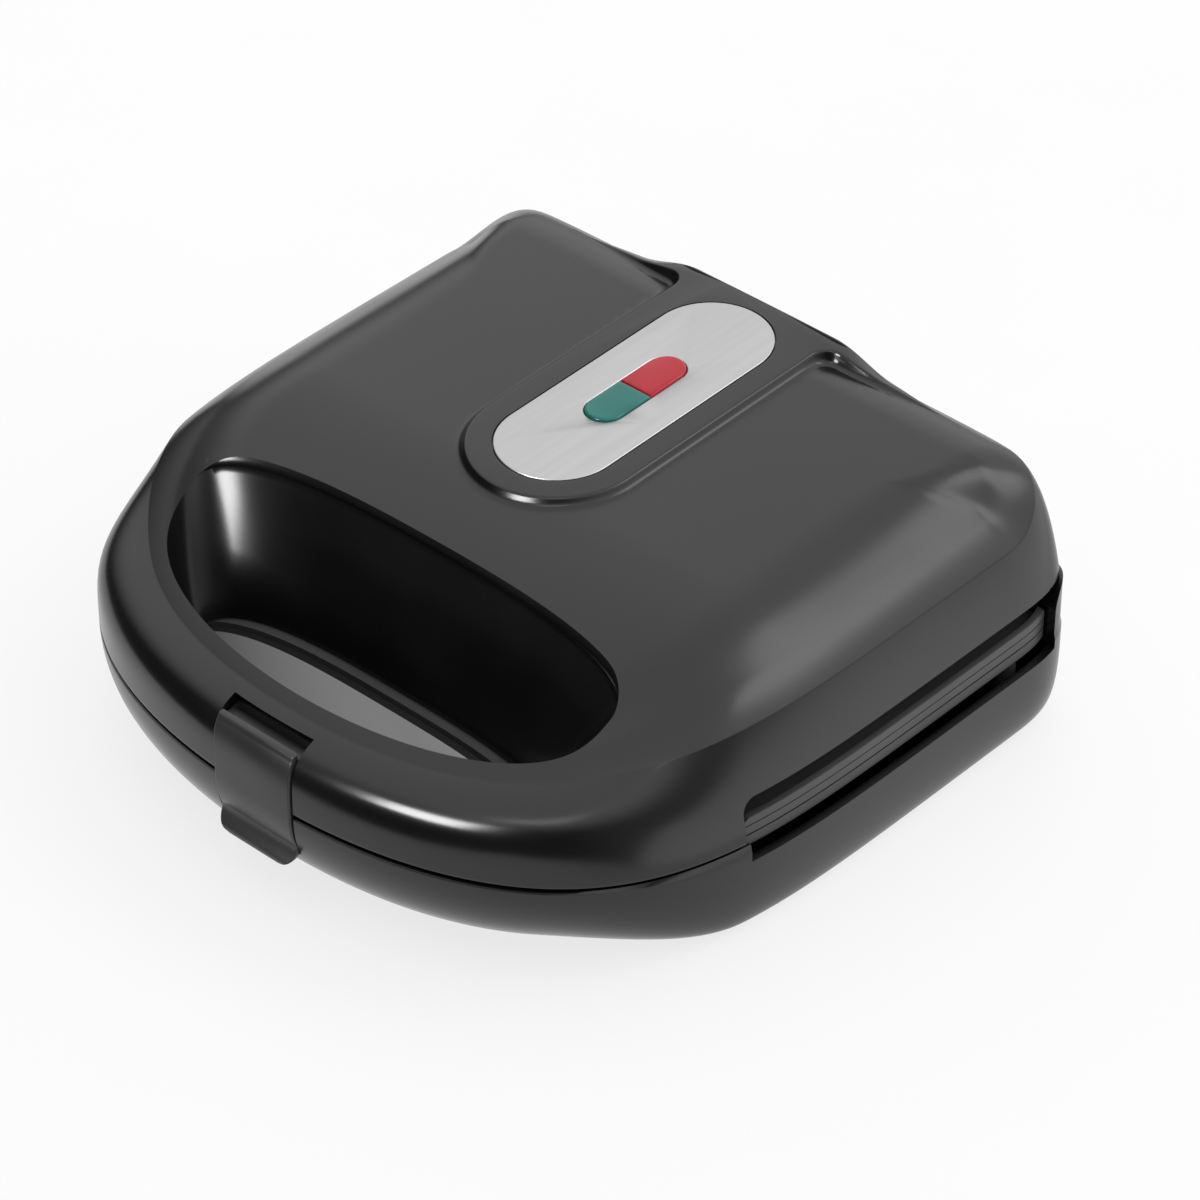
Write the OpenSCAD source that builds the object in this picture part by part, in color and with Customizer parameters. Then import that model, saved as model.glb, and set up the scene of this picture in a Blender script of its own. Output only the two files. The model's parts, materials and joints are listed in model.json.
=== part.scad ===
// Sandwich toaster for two slices, closed, standing on its four feet.
// Millimetres, +Z up, -Y towards the handle and latch, +Y towards the hinge.
// The origin is on the table under the middle of the body.

/* [Outline] */
// Half of the body's greatest width
half_w = 121; // [117:0.5:126]
// Distance from the middle to the rear face
rear_y = 112; // [110:0.5:115]
// Distance from the middle to the front of the handle
front_y = 112; // [110:0.5:116]
// Radius of the rear corners in plan
corner_r = 32; // [28:0.5:34]
// Roundness of the sides where they meet the front
side_power = 5.28; // [4.8:0.02:5.8]
// Roundness of the front itself
front_power = 2.13; // [2:0.01:2.4]

/* [Heights] */
// Height of the plane where lid and base meet
part_z = 34; // [33:0.25:36]
// Visible gap between the lid's and the base's edges
part_gap = 1.2; // [0.8:0.1:1.8]
// Height of the crisp shoulder along the sides
shoulder_z = 67; // [65:0.25:69]
// Height of the top panel at the middle
panel_z = 86; // [85:0.25:88]
// Height of the base's underside over the table
under_z = 3; // [2.5:0.25:4]
// Thickness of the moulded walls
wall = 2.5; // [2:0.1:3]

/* [Handle] */
// Half of the grip recess's length at its rim
grip_half_w = 84; // [80:0.5:87]
// Rear edge of the grip recess at its rim
grip_rear_y = -36; // [-38:0.5:-34]
// Front edge of the grip recess at its rim
grip_front_y = -96; // [-97:0.25:-95]
// Half of the hand opening's length at the meeting plane
hand_half_w = 65; // [60:0.5:68]
// Rear edge of the hand opening at the meeting plane
hand_rear_y = -52; // [-54:0.5:-50]
// Front edge of the hand opening at the meeting plane
hand_front_y = -90; // [-92:0.5:-88]
// Step between the lid's and the base's rear edge of the opening
hand_step = 7; // [5:0.5:8]

/* [Indicator panel] */
// Length of the metal trim plate
trim_l = 104; // [100:0.5:108]
// Width of the metal trim plate
trim_w = 37.8; // [36:0.2:40]
// Middle of the trim plate, from the middle of the body
trim_y = 47.3; // [45:0.1:48]
// Thickness of the trim plate
trim_t = 1.2; // [0.8:0.1:1.6]
// Length of the two lenses together
lens_l = 38.4; // [34:0.2:42]
// Width of the lenses
lens_w = 12.2; // [10:0.2:14]
// Width of the raised band round the trim plate
band_w = 8.5; // [7:0.25:10]
// Height of the raised band over the top panel
band_h = 2.6; // [2:0.1:3]

/* [Side vents] */
// Front end of the long opening in each side
vent_front_y = -36; // [-40:0.5:-32]
// Rear end of the long opening in each side
vent_rear_y = 97; // [95:0.5:98]
// Lower edge of the lid's skirt above the opening
vent_top_z = 48.4; // [46:0.2:50]
// Upper edge of the base below the opening
vent_low_z = 27.5; // [26:0.25:29]
// Height of the lid liner's rail over the meeting plane
rail_up = 6; // [5:0.25:7]
// Depth of the base liner's rail under the meeting plane
rail_down = 4; // [3:0.25:5]

/* [Plates] */
// Length of a cooking plate
plate_l = 208; // [200:1:210]
// Depth of a cooking plate, front to back
plate_w = 120; // [114:1:122]
// Middle of the plates, from the middle of the body
plate_y = 34.5; // [33.5:0.25:35]
// Depth of the sandwich recesses in a plate
recess_h = 10; // [7:0.5:11]
// Full height of a plate
plate_h = 15; // [13.5:0.25:16]
// Width of the ridges that seal and cut the sandwich
ridge_w = 7; // [5:0.5:9]
// Radius of a tubular heating element
element_r = 3.2; // [2.8:0.1:3.6]

/* [Hinge] */
// Height of the hinge axis
hinge_z = 40; // [39.5:0.25:41]
// Distance from the hinge axis to the rear face
hinge_in = 6.5; // [6:0.1:7]
// Radius of the lid's hinge barrel
barrel_r = 6.2; // [5.6:0.1:6.4]
// Half of the hinge barrel's length
barrel_half = 74; // [70:0.5:78]
// Radius of the hinge pins
pin_r = 2.45; // [2:0.05:2.8]

/* [Latch] */
// Width of the latch
latch_w = 30; // [26:0.5:34]
// Thickness of the latch strap
latch_t = 2.6; // [2.2:0.1:3]
// Height of the latch's upper edge
latch_top_z = 54; // [53:0.25:55]
// Height of the latch's pivot
latch_pin_z = 49.3; // [48.5:0.1:49.8]
// How far the finger lip flares out in front of the strap
lip_reach = 3; // [2:0.25:4]
// Radius of the latch pin
latch_pin_r = 1.2; // [1:0.05:1.3]

/* [Hidden] */

$fn = 48;
slack = 0.3;             // gap between neighbouring pieces
fit = 0.05;              // radial clearance of a pin in its bore
black = [0.07, 0.07, 0.075];
liner_black = [0.12, 0.12, 0.12];
metal = [0.72, 0.73, 0.74];
cast = [0.23, 0.23, 0.24];
steel = [0.6, 0.61, 0.62];
rubber_black = [0.16, 0.16, 0.17];
lead_white = [0.85, 0.85, 0.82];

widest_y = rear_y - corner_r;          // where the sides are widest
front_len = widest_y + front_y;        // from there to the front of the handle
hinge_y = rear_y - hinge_in;
front_steps = 16;
corner_steps = 6;
rear_steps = 3;
half_steps = front_steps + corner_steps + rear_steps;

function lerp(a, b, t) = a + (b - a) * t;
function smooth(t) = let (c = min(1, max(0, t))) c * c * (3 - 2 * c);
function soft_min(a, b, k) = let (h = max(k - abs(a - b), 0) / k) min(a, b) - h * h * k / 4;
function flip(ring) = [for (i = [len(ring) - 2:-1:1]) [-ring[i][0], ring[i][1], ring[i][2]]];

// A closed solid through rings of equal length, each counter-clockwise from above, lowest first.
module loft(rings) {
    n = len(rings[0]);
    sides = [for (k = [0:len(rings) - 2], i = [0:n - 1]) let (j = (i + 1) % n, a = k * n, b = a + n)
        each [[a + i, b + i, b + j], [a + i, b + j, a + j]]];
    top = (len(rings) - 1) * n;
    polyhedron([for (r = rings) each r],
        concat([[for (i = [0:n - 1]) i]], sides, [[for (i = [n - 1:-1:0]) top + i]]), convexity = 8);
}

module at_both_sides() {
    children();
    mirror([1, 0, 0]) children();
}

module along_x(r, x0, x1) {
    translate([x0, 0, 0]) rotate([0, 90, 0]) cylinder(r = r, h = x1 - x0);
}

// ---- Plan outline: one half from the front centre round to the rear centre ----

// Point number i of the half outline, moved inwards by d.
function half_point(i, d) =
    i <= front_steps ? let (v = cos(90 * i / front_steps))
        [(half_w - d) * pow(max(0, 1 - pow(v, side_power)), 1 / front_power),
            widest_y - (front_len - d) * v]
    : i <= front_steps + corner_steps ? let (a = 90 * (i - front_steps) / corner_steps)
        [half_w - corner_r + (corner_r - d) * cos(a), widest_y + (corner_r - d) * sin(a)]
    : [(half_w - corner_r) * (1 - (i - front_steps - corner_steps) / rear_steps), rear_y - d];

function closed(half) = concat(half, flip(half));
function outline(d, z) = closed([for (i = [0:half_steps]) let (p = half_point(i, d)) [p[0], p[1], z]]);

module outline_slab(d, z0, z1) {
    translate([0, 0, z0]) linear_extrude(z1 - z0)
        polygon([for (p = outline(d, 0)) [p[0], p[1]]]);
}

// How much a station belongs to the front and to the rear of the body.
function frontness(i) = smooth((-35 - half_point(i, 0)[1]) / 55);
function rearness(i) = smooth((half_point(i, 0)[1] - rear_y + 20) / 18);

// ---- Lid surface ----

lid_z0 = part_z + part_gap / 2;
fall_y = -12;                 // the panel falls away towards the handle from here
fall_l = 84;
fall_h = 23;
bevel_h = 26;                 // rise of the soft bevel inside the shoulder
bevel_l = 15;
inner_ring = 20;              // from this inset on, rings shrink towards the middle
inner_span = 95;
middle_y = 5;

function panel(x, y) = panel_z + 0.02 * (y - 20) - 0.0002 * x * x
    - (y < fall_y ? fall_h * pow((fall_y - y) / fall_l, 1.4) * (1 + 0.00004 * x * x) : 0);
function shoulder(i) = shoulder_z - 6 * frontness(i) + 16 * rearness(i);
function shoulder_in(i) = 8.6 + 5.4 * frontness(i) - 2.6 * rearness(i);
function top_z(i, x, y, d) = soft_min(panel(x, y),
    shoulder(i) + bevel_h * (1 - exp(-(d - shoulder_in(i)) / (bevel_l * (1 + frontness(i))))), 6);

// A station on the skirt, t from 0 at the lower edge to 1 at the shoulder.
function skirt_point(i, t, w, z0) = let (
    f = frontness(i), g = rearness(i), am = 45 + 25 * f + 25 * g, a = am * t,
    din = shoulder_in(i), q = half_point(i, din),
    ze = top_z(i, q[0], q[1], din),
    d = din * (1 - cos(a)) / (1 - cos(am)),
    h = pow(sin(a) / sin(am), 2 / (2 + 3 * f + g)), p = half_point(i, d + w))
    [p[0], p[1], z0 + (ze - w - z0) * h];

// A station on the top, d inside the outline.
function top_point(i, d, w) = let (p = half_point(i, d + w), q = half_point(i, d))
    [p[0], p[1], top_z(i, q[0], q[1], d) - w];

// A station on the top beyond the inner ring, s from 1 there to 0 at the middle.
function middle_point(i, s, w) = let (
    r = half_point(i, inner_ring), q = [r[0] * s, middle_y + (r[1] - middle_y) * s],
    r2 = half_point(i, inner_ring + w), p = [r2[0] * s, middle_y + (r2[1] - middle_y) * s])
    [p[0], p[1], top_z(i, q[0], q[1], inner_ring + inner_span * (1 - s)) - w];

function all_half(f) = closed([for (i = [0:half_steps]) f(i)]);

module lid_form(w, z0) {
    loft(concat(
        [for (t = [0:7]) all_half(function(i) skirt_point(i, t / 7, w, z0))],
        [for (k = [0.15, 0.4, 0.7]) all_half(function(i)
            top_point(i, lerp(shoulder_in(i), inner_ring, k), w))],
        [for (s = [1, 0.93, 0.86, 0.76, 0.64, 0.5, 0.3, 0.1])
            all_half(function(i) middle_point(i, s, w))]));
}

// ---- Grip recess and hand opening ----

grip_curve = 18;              // depth of the recess's squarish rear half
grip_steps = 10;

function grip_ring(z, xe, yb, yf, grow) = let (ym = yb - grip_curve)
    closed(concat(
        [for (k = [0:grip_steps]) let (a = 90 * k / grip_steps)
            [(xe + grow) * sin(a), ym - (ym - yf + grow) * cos(a), z]],
        [for (k = [1:grip_steps]) let (a = 90 * k / grip_steps)
            [(xe + grow) * pow(cos(a), 2 / 3), ym + (grip_curve + grow) * pow(sin(a), 2 / 3), z]]));

// Ring u of the lid's recess: 0 at the meeting plane, 1 at the foot of the rounded rim, 2 above it.
rim_r = 4;
function lid_grip_ring(u, grow) = let (
    low = grip_ring(part_z, hand_half_w, hand_rear_y, hand_front_y, grow),
    rim = grip_ring(part_z, grip_half_w - rim_r / 2, grip_rear_y - rim_r / 2,
        grip_front_y + rim_r / 2, grow),
    out = grip_ring(part_z, grip_half_w + rim_r, grip_rear_y + rim_r, grip_front_y - rim_r, grow))
    [for (k = [0:len(low) - 1]) let (zr = panel(rim[k][0], rim[k][1]) - rim_r * 0.7,
        zo = panel(rim[k][0], rim[k][1]) + 1.2 * rim_r, v = min(1, u), t = max(0, u - 1),
        bend = pow(v, low[k][1] > hand_rear_y - grip_curve ? 1.3 : 0.7))
        [lerp(lerp(low[k][0], rim[k][0], bend), out[k][0], t * t),
            lerp(lerp(low[k][1], rim[k][1], bend), out[k][1], t * t),
            lerp(lerp(part_z, zr, v), zo, t)]];

module lid_grip(grow, z0) {
    floor_ring = [for (p = lid_grip_ring(0, grow)) [p[0], p[1], z0]];
    loft(concat([floor_ring],
        [for (u = [0, 0.2, 0.4, 0.6, 0.8, 1, 1.25, 1.5, 1.75, 2]) lid_grip_ring(u, grow)]));
}

// The base's opening leans back below its rim.
hand_lean = 13;
base_rim_z = part_z - part_gap / 2;

module base_grip(grow, z0, z1) {
    loft([for (z = [z0, z1]) let (t = (base_rim_z - z) / base_rim_z)
        grip_ring(z, hand_half_w + 6 * t, hand_rear_y - hand_step + hand_lean * t,
            hand_front_y, grow)]);
}

// ---- Raised band round the trim plate, running out along the rear edge ----

trim_half = trim_w / 2;
trim_end = trim_l / 2 - trim_half;    // from the middle to each end's centre
function band_z(y) = panel(0, y) + band_h;

// A flat round hill on the panel with sloping sides.
module bead(x, y, r, h, facets = 16) {
    root = wall - 1;
    translate([x, y, panel(x, y) - root])
        cylinder(r1 = r + 0.45 * (h + root), r2 = r, h = h + root, $fn = facets);
}

module raised_band() {
    r = trim_half + band_w;
    bend_r = 9;
    hill_r = 2.8;
    bend_x = r + bend_r - hill_r;
    line_y = rear_y - 9;                  // the ridge's line along the rear edge
    bend_y = line_y - bend_r;
    neck_y = trim_y + trim_end - 8;       // where the band begins to spread
    ridge = concat(
        [for (a = [180:-22.5:90]) [bend_x + bend_r * cos(a), bend_y + bend_r * sin(a), 1]],
        [[bend_x + 12, line_y, 0.8], [bend_x + 25, line_y, 0.4], [bend_x + 40, line_y, 0.08]]);
    hull() {
        bead(0, trim_y - trim_end, r, band_h, 64);
        bead(0, neck_y, r, band_h, 64);
    }
    hull() {
        bead(0, neck_y, r, band_h, 64);
        at_both_sides() {
            bead(ridge[0][0], ridge[0][1], hill_r, band_h);
            bead(bend_x, line_y, hill_r, band_h);
        }
    }
    at_both_sides() for (k = [0:len(ridge) - 2]) hull() {
        bead(ridge[k][0], ridge[k][1], hill_r * ridge[k][2], band_h * ridge[k][2]);
        bead(ridge[k + 1][0], ridge[k + 1][1], hill_r * ridge[k + 1][2], band_h * ridge[k + 1][2]);
    }
}

module stadium(l, w, z0, z1) {
    e = l / 2 - w / 2;
    translate([0, trim_y - e, z0]) cylinder(r = w / 2, h = z1 - z0);
    translate([0, trim_y + e, z0]) cylinder(r = w / 2, h = z1 - z0);
    translate([-w / 2, trim_y - e, z0]) cube([w, 2 * e, z1 - z0]);
}

// ---- Bosses and screws shared by shells, liners and plates ----

boss_r = 4;
screw_r = 1.4;
head_r = 3;
head_h = 1.8;
plate_lug_x = 88;
plate_screws = [for (x = [-plate_lug_x, plate_lug_x], y = [plate_y - 45, plate_y + 45]) [x, y]];

module at_points(points) {
    for (p = points) translate([p[0], p[1], 0]) children();
}

// ---- Base ----

base_bosses = [[-98, -46], [98, -46], [-111, 84], [111, 84]];
foot_points = [[-100, -35], [100, -35], [-96, 88], [96, 88]];
foot_r = 6;
ear_r = 8;
ear_x = barrel_half + 0.6;
ear_front_y = hinge_y - ear_r;
ear_wall = 1.8;
gland_x = 40;
gland_z = 21;
gland_r = 6;
hook_z = part_z - 7.4;
term_y = rear_y - 22;
lead_z = under_z + wall + 3.1;

function base_in(i) = 7 + 8 * frontness(i);
function base_under(i) = under_z + 5 * frontness(i);
function base_point(i, t, w) = let (
    f = frontness(i), am = 80 - 18 * f, a = am * t,
    d = base_in(i) * (1 - cos(a)) / (1 - cos(am)), zb = base_under(i) + w,
    h = pow(sin(a) / sin(am), 2 / (4 - 1.8 * f)), p = half_point(i, d + w))
    [p[0], p[1], lerp(w > 0 ? base_rim_z + 1 : base_rim_z, zb, h)];
function floor_point(i, s, w) = let (r = half_point(i, base_in(i) + w))
    [r[0] * s, middle_y + (r[1] - middle_y) * s,
        w + lerp(under_z, base_under(i), smooth((s - 0.5) / 0.5))];

module base_form(w) {
    loft(concat(
        [for (s = [0.1, 0.5, 0.7, 0.85]) all_half(function(i) floor_point(i, s, w))],
        [for (t = [7:-1:0]) all_half(function(i) base_point(i, t / 7, w))]));
}

// The profile of a raised hinge housing, seen along X.
module ear_profile(r, x0, x1, z0) {
    translate([0, hinge_y, hinge_z]) along_x(r, x0, x1);
    translate([x0, hinge_y - r, z0]) cube([x1 - x0, 2 * r, hinge_z - z0]);
}

module hinge_ear() {
    difference() {
        intersection() {
            outline_slab(0.4, base_rim_z - 6, hinge_z + ear_r + 1);
            ear_profile(ear_r, ear_x, half_w, base_rim_z - 6);
        }
        intersection() {
            outline_slab(wall + 0.2, base_rim_z - 7, hinge_z + ear_r);
            ear_profile(ear_r - ear_wall, ear_x + ear_wall, half_w, base_rim_z - 7);
        }
        translate([0, hinge_y, hinge_z]) along_x(pin_r + 0.8, ear_x - 1, ear_x + ear_wall + 1);
    }
}

// A hollow post on the base's floor for a screw from below, with its gusset.
module base_post(p) {
    hull() {
        translate([p[0], p[1], under_z]) cylinder(r = 5.2, h = 7, $fn = 24);
        translate([p[0] * 0.93, p[1] * 0.9, under_z]) cylinder(r = 3, h = 4, $fn = 12);
    }
}

module foot_seat(p) {
    hull() {
        translate([p[0], p[1], under_z]) cylinder(r = foot_r + 1, h = wall + 0.6, $fn = 32);
        translate([p[0] * 0.96, p[1] * 0.96, under_z]) cylinder(r = foot_r, h = wall + 0.6, $fn = 32);
    }
}

module base_shell() {
    color(black) difference() {
        union() {
            difference() {
                base_form(0);
                base_form(wall);
            }
            intersection() {
                base_form(0);
                base_grip(wall, -1, base_rim_z + 1);
            }
            intersection() {
                base_form(0);
                union() {
                    for (p = base_bosses) base_post(p);
                    for (p = foot_points) foot_seat(p);
                    translate([-latch_w / 2 - 3, -front_y - 1, under_z])
                        cube([latch_w + 6, 7.5, hook_z - 2.2 - under_z]);
                }
            }
            at_both_sides() hinge_ear();
        }
        base_grip(0, -2, base_rim_z + 2);
        at_both_sides() translate([half_w - 14, vent_front_y + 2, vent_low_z])
            cube([20, ear_front_y - vent_front_y - 2, 20]);
        translate([-ear_x, rear_y - 10, hinge_z - 8.5]) cube([2 * ear_x, 20, 20]);
        latch_channel();
        at_points(base_bosses) {
            translate([0, 0, -1]) cylinder(r = head_r + 0.4, h = under_z + 6, $fn = 32);
            cylinder(r = screw_r + 0.3, h = 20, $fn = 24);
        }
        translate([gland_x, rear_y - 12, gland_z]) rotate([-90, 0, 0])
            cylinder(r = gland_r - 1, h = 20, $fn = 32);
    }
}

// ---- Lid ----

recess_top_z = latch_top_z + 2;
ledge_z = hinge_z + 8.4;
ledge_t = 2;
ledge_y = hinge_y - 8;
lid_bosses = [[-98, -46], [98, -46], [-58, ledge_y + 4], [58, ledge_y + 4]];
stud_points = [for (x = [-58, 58], y = [plate_y - 32, plate_y + 32]) [x, y]];
stud_r = 3;
lid_stud_z = 70;

module lid_shell() {
    color(black) difference() {
        union() {
            difference() {
                lid_form(0, lid_z0);
                lid_form(wall, lid_z0 - 2);
            }
            intersection() {
                lid_form(0, lid_z0);
                union() {
                    lid_grip(wall, lid_z0 - 1);
                    for (k = [0:1]) translate([lid_bosses[k][0], lid_bosses[k][1], part_z + 3.2])
                        cylinder(r = boss_r, h = 60, $fn = 24);
                    for (k = [2:3]) translate([lid_bosses[k][0], lid_bosses[k][1], ledge_z + ledge_t + 0.1])
                        cylinder(r = boss_r, h = 60, $fn = 24);
                    at_points(stud_points) translate([0, 0, lid_stud_z])
                        cylinder(r = boss_r, h = 30, $fn = 24);
                }
            }
            raised_band();
        }
        lid_grip(0, lid_z0 - 5);
        tilted() stadium(trim_l + 0.8, trim_w + 0.8, -trim_t - 0.05, 10);
        tilted() stadium(lens_l + 0.3, lens_w + 0.3, -12, 10);
        at_both_sides() side_vent();
        at_both_sides() translate([ear_x - 0.6, vent_rear_y - 1, 0]) cube([60, 30, hinge_z + ear_r + 0.6]);
        translate([-ear_x, rear_y - 16, 0]) cube([2 * ear_x, 20, hinge_z + 4]);
        translate([0, hinge_y, hinge_z]) along_x(barrel_r + slack, -ear_x, ear_x);
        translate([-latch_w / 2 - 0.6, -front_y - 2, 0]) cube([latch_w + 1.2, 13, recess_top_z]);
        at_points(lid_bosses) cylinder(r = screw_r + 0.1, h = lid_stud_z - 10, $fn = 24);
        at_points(stud_points) cylinder(r = screw_r + 0.1, h = lid_stud_z + 5, $fn = 24);
    }
}

// The long opening under the lid's skirt, with a round front corner.
module side_vent() {
    r = 5;
    x0 = half_w - 14;
    translate([x0, vent_front_y + r, 0]) cube([30, vent_rear_y - vent_front_y - r, vent_top_z]);
    translate([x0, vent_front_y, 0]) cube([30, r + 1, vent_top_z - r]);
    translate([0, vent_front_y + r, vent_top_z - r]) along_x(r, x0, x0 + 30);
}

// The trim plate's plane: z = 0 is its upper face.
module tilted() {
    slope = atan(0.02);
    translate([0, trim_y, band_z(trim_y)]) rotate([slope, 0, 0]) translate([0, -trim_y, 0]) children();
}

// ---- Liners: the black frames round the plates ----

liner_in = 3.5;
flange_t = 2.7;
liner_wall = 2;
plate_gap = 0.5;

module plate_rect(grow, z0, z1, r = 10) {
    l = plate_l / 2 + grow - r;
    w = plate_w / 2 + grow - r;
    translate([0, plate_y, z0]) union() {
        for (x = [-l, l], y = [-w, w]) translate([x, y, 0]) cylinder(r = r, h = z1 - z0);
        translate([-l - r, -w, 0]) cube([2 * (l + r), 2 * w, z1 - z0]);
        translate([-l, -w - r, 0]) cube([2 * l, 2 * (w + r), z1 - z0]);
    }
}

module liner_outline(d, z0, z1) {
    difference() {
        outline_slab(d, z0, z1);
        translate([-half_w, ear_front_y - 0.8, z0 - 1]) cube([2 * half_w, 60, z1 - z0 + 2]);
    }
}

module hand_slab(grow, z0, z1, rear) {
    ring = grip_ring(0, hand_half_w, rear, hand_front_y, grow);
    translate([0, 0, z0]) linear_extrude(z1 - z0) polygon([for (p = ring) [p[0], p[1]]]);
}

module latch_gap(z0, z1, y1) {
    translate([-latch_w / 2 - 0.6, -front_y - 1, z0]) cube([latch_w + 1.2, y1 + front_y + 1, z1 - z0]);
}

gap_back_y = 3.1 - front_y;   // rear edge of the room the liners leave for the latch

module lid_liner() {
    z0 = part_z + slack;
    color(liner_black) difference() {
        union() {
            liner_outline(liner_in, z0, z0 + flange_t);
            difference() {
                liner_outline(liner_in, z0, part_z + rail_up);
                liner_outline(liner_in + 2, z0 - 1, part_z + rail_up + 1);
                translate([-half_w, -front_y, z0 - 1]) cube([2 * half_w, front_y + vent_front_y, 20]);
            }
            plate_rect(plate_gap + liner_wall, z0, part_z + 15);
        }
        plate_rect(plate_gap, z0 - 1, part_z + 20);
        hand_slab(wall + 3, z0 - 1, z0 + 5, hand_rear_y);
        latch_gap(z0 - 1, z0 + 5, gap_back_y);
        for (k = [0:1]) translate([lid_bosses[k][0], lid_bosses[k][1], z0 - 1]) {
            cylinder(r = screw_r + 0.2, h = 9);
            cylinder(r = head_r + 0.2, h = head_h + 1.05);
        }
    }
}

module base_liner() {
    z1 = part_z - slack;
    post_z = under_z + 7.2;
    color(liner_black) difference() {
        union() {
            liner_outline(liner_in, z1 - flange_t, z1);
            difference() {
                liner_outline(liner_in, part_z - rail_down, z1);
                liner_outline(liner_in + 2, part_z - rail_down - 1, z1 + 1);
                translate([-half_w, -front_y, 0]) cube([2 * half_w, front_y + vent_front_y + 3, 50]);
            }
            plate_rect(plate_gap + liner_wall, part_z - 14, z1);
            at_points(base_bosses) translate([0, 0, post_z]) cylinder(r = boss_r, h = z1 - 1 - post_z);
        }
        plate_rect(plate_gap, 0, part_z + 20);
        hand_slab(wall + 1.6, z1 - 6, z1 + 1, hand_rear_y - hand_step);
        latch_gap(0, part_z + 5, gap_back_y);
        at_points(base_bosses) translate([0, 0, under_z + 6])
            cylinder(r = screw_r + 0.05, h = 12);
    }
}

// ---- Cooking plates ----

plate_rim = 3.4;              // thickness of the plate's flange
body_in = 4;                  // step from the flange's edge to the plate's body
half_gap = 0.15;              // half of the gap between the closed plates
plate_boss_h = 7;

// A triangle with round corners, counter-clockwise, shrunk about its middle by k.
function tri_ring(v, k, r, z) = let (c = (v[0] + v[1] + v[2]) / 3)
    [for (i = [0:2]) let (a = v[(i + 2) % 3], b = v[i], e = v[(i + 1) % 3],
        n0 = atan2(a[0] - b[0], b[1] - a[1]), n1r = atan2(b[0] - e[0], e[1] - b[1]),
        n1 = n1r < n0 ? n1r + 360 : n1r, q = c + (b - c) * k)
        for (s = [0:3]) let (t = lerp(n0, n1, s / 3)) [q[0] + r * cos(t), q[1] + r * sin(t), z]];

module sandwich_recess(v, up) {
    zs = up ? [-0.01, recess_h * 0.72, recess_h] : [-recess_h, -recess_h * 0.72, 0.01];
    ks = up ? [0.86, 0.66, 0.4] : [0.4, 0.66, 0.86];
    loft([for (k = [0:2]) tri_ring(v, ks[k], 6, zs[k])]);
}

// The two triangular recesses of one slice, right of the middle.
module slice_recesses(up) {
    x0 = ridge_w / 2;
    x1 = plate_l / 2 - ridge_w;
    y1 = plate_w / 2 - ridge_w;
    g = ridge_w * 0.7;
    sandwich_recess([[x0, -y1 + g], [x1 - g, y1], [x0, y1]], up);
    sandwich_recess([[x0 + g, -y1], [x1, -y1], [x1, y1 - g]], up);
}

module plate_body(up) {
    rim = up ? [0, plate_rim] : [-plate_rim, 0];
    core = up ? [0, plate_h] : [-plate_h, 0];
    difference() {
        union() {
            plate_rect(0, rim[0], rim[1]);
            plate_rect(-body_in, core[0], core[1], r = 8);
            at_points(plate_screws) translate([0, 0, up ? plate_h : -plate_h - plate_boss_h])
                cylinder(r = boss_r, h = plate_boss_h);
        }
        translate([0, plate_y, 0]) at_both_sides() slice_recesses(up);
        at_points(plate_screws) translate([0, 0, up ? plate_h : -plate_h - plate_boss_h - 1])
            cylinder(r = screw_r + 0.05, h = plate_boss_h + 1);
        element_groove(up);
    }
}

// The channel in the plate's back that the heating element lies in.
element_x = 70;
element_y = 26;
element_sink = 3.4;

module element_path(r, z, tail) {
    for (side = [-1, 1]) translate([0, plate_y + side * element_y, z])
        along_x(r, -element_x - tail, element_x - element_y);
    translate([element_x - element_y, plate_y, z]) rotate([0, 0, -90]) rotate_extrude(angle = 180)
        translate([element_y, 0]) circle(r = r);
}

module element_groove(up) {
    z0 = up ? plate_h - element_sink : -plate_h - 1;
    half = element_y + element_r + slack;
    translate([-element_x - 22, plate_y - half, z0]) cube([2 * element_x + 28, 2 * half, element_sink + 1]);
    for (side = [-1, 1]) translate([-plate_l / 2 - 1, plate_y + side * element_y - 4, z0])
        cube([20, 8, element_sink + 1]);
}

module lower_plate() {
    color(cast) translate([0, 0, part_z - half_gap]) plate_body(false);
}

module upper_plate() {
    color(cast) translate([0, 0, part_z + half_gap]) plate_body(true);
}

element_up = half_gap + plate_h - element_sink + element_r + 0.05;

module heating_element(s) {
    z = part_z + s * element_up;
    element_path(element_r, z, 16);
    for (side = [-1, 1]) translate([0, plate_y + side * element_y, z])
        along_x(1.2, -element_x - 23, -element_x - 15);
}

module lower_element() {
    color(steel) heating_element(-1);
}

module upper_element() {
    color(steel) heating_element(1);
}

// ---- Heat reflectors, their studs and screws ----

sheet = 0.8;
boss_end = half_gap + plate_h + plate_boss_h;     // end of a plate's bosses, from the meeting plane

module reflector(s) {
    z = s > 0 ? part_z + boss_end + 0.1 : part_z - boss_end - 0.1 - sheet;
    difference() {
        union() {
            plate_rect(-body_in - 1, z, z + sheet, r = 7);
            difference() {
                plate_rect(-body_in - 1, s > 0 ? z - 5 : z, s > 0 ? z + sheet : z + sheet + 5, r = 7);
                plate_rect(-body_in - 1 - sheet, z - 8, z + 8, r = 7 - sheet);
            }
        }
        at_points(concat(plate_screws, stud_points)) translate([0, 0, z - 1])
            cylinder(r = screw_r + 0.2, h = 3);
        translate([0, plate_y, z - 1]) cylinder(r = 10, h = 3);
        translate([-plate_l / 2, plate_y - element_y - 6, z - 7]) cube([20, 2 * element_y + 12, 14]);
    }
}

module lower_reflector() {
    color(metal) reflector(-1);
}

module upper_reflector() {
    color(metal) reflector(1);
}

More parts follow.
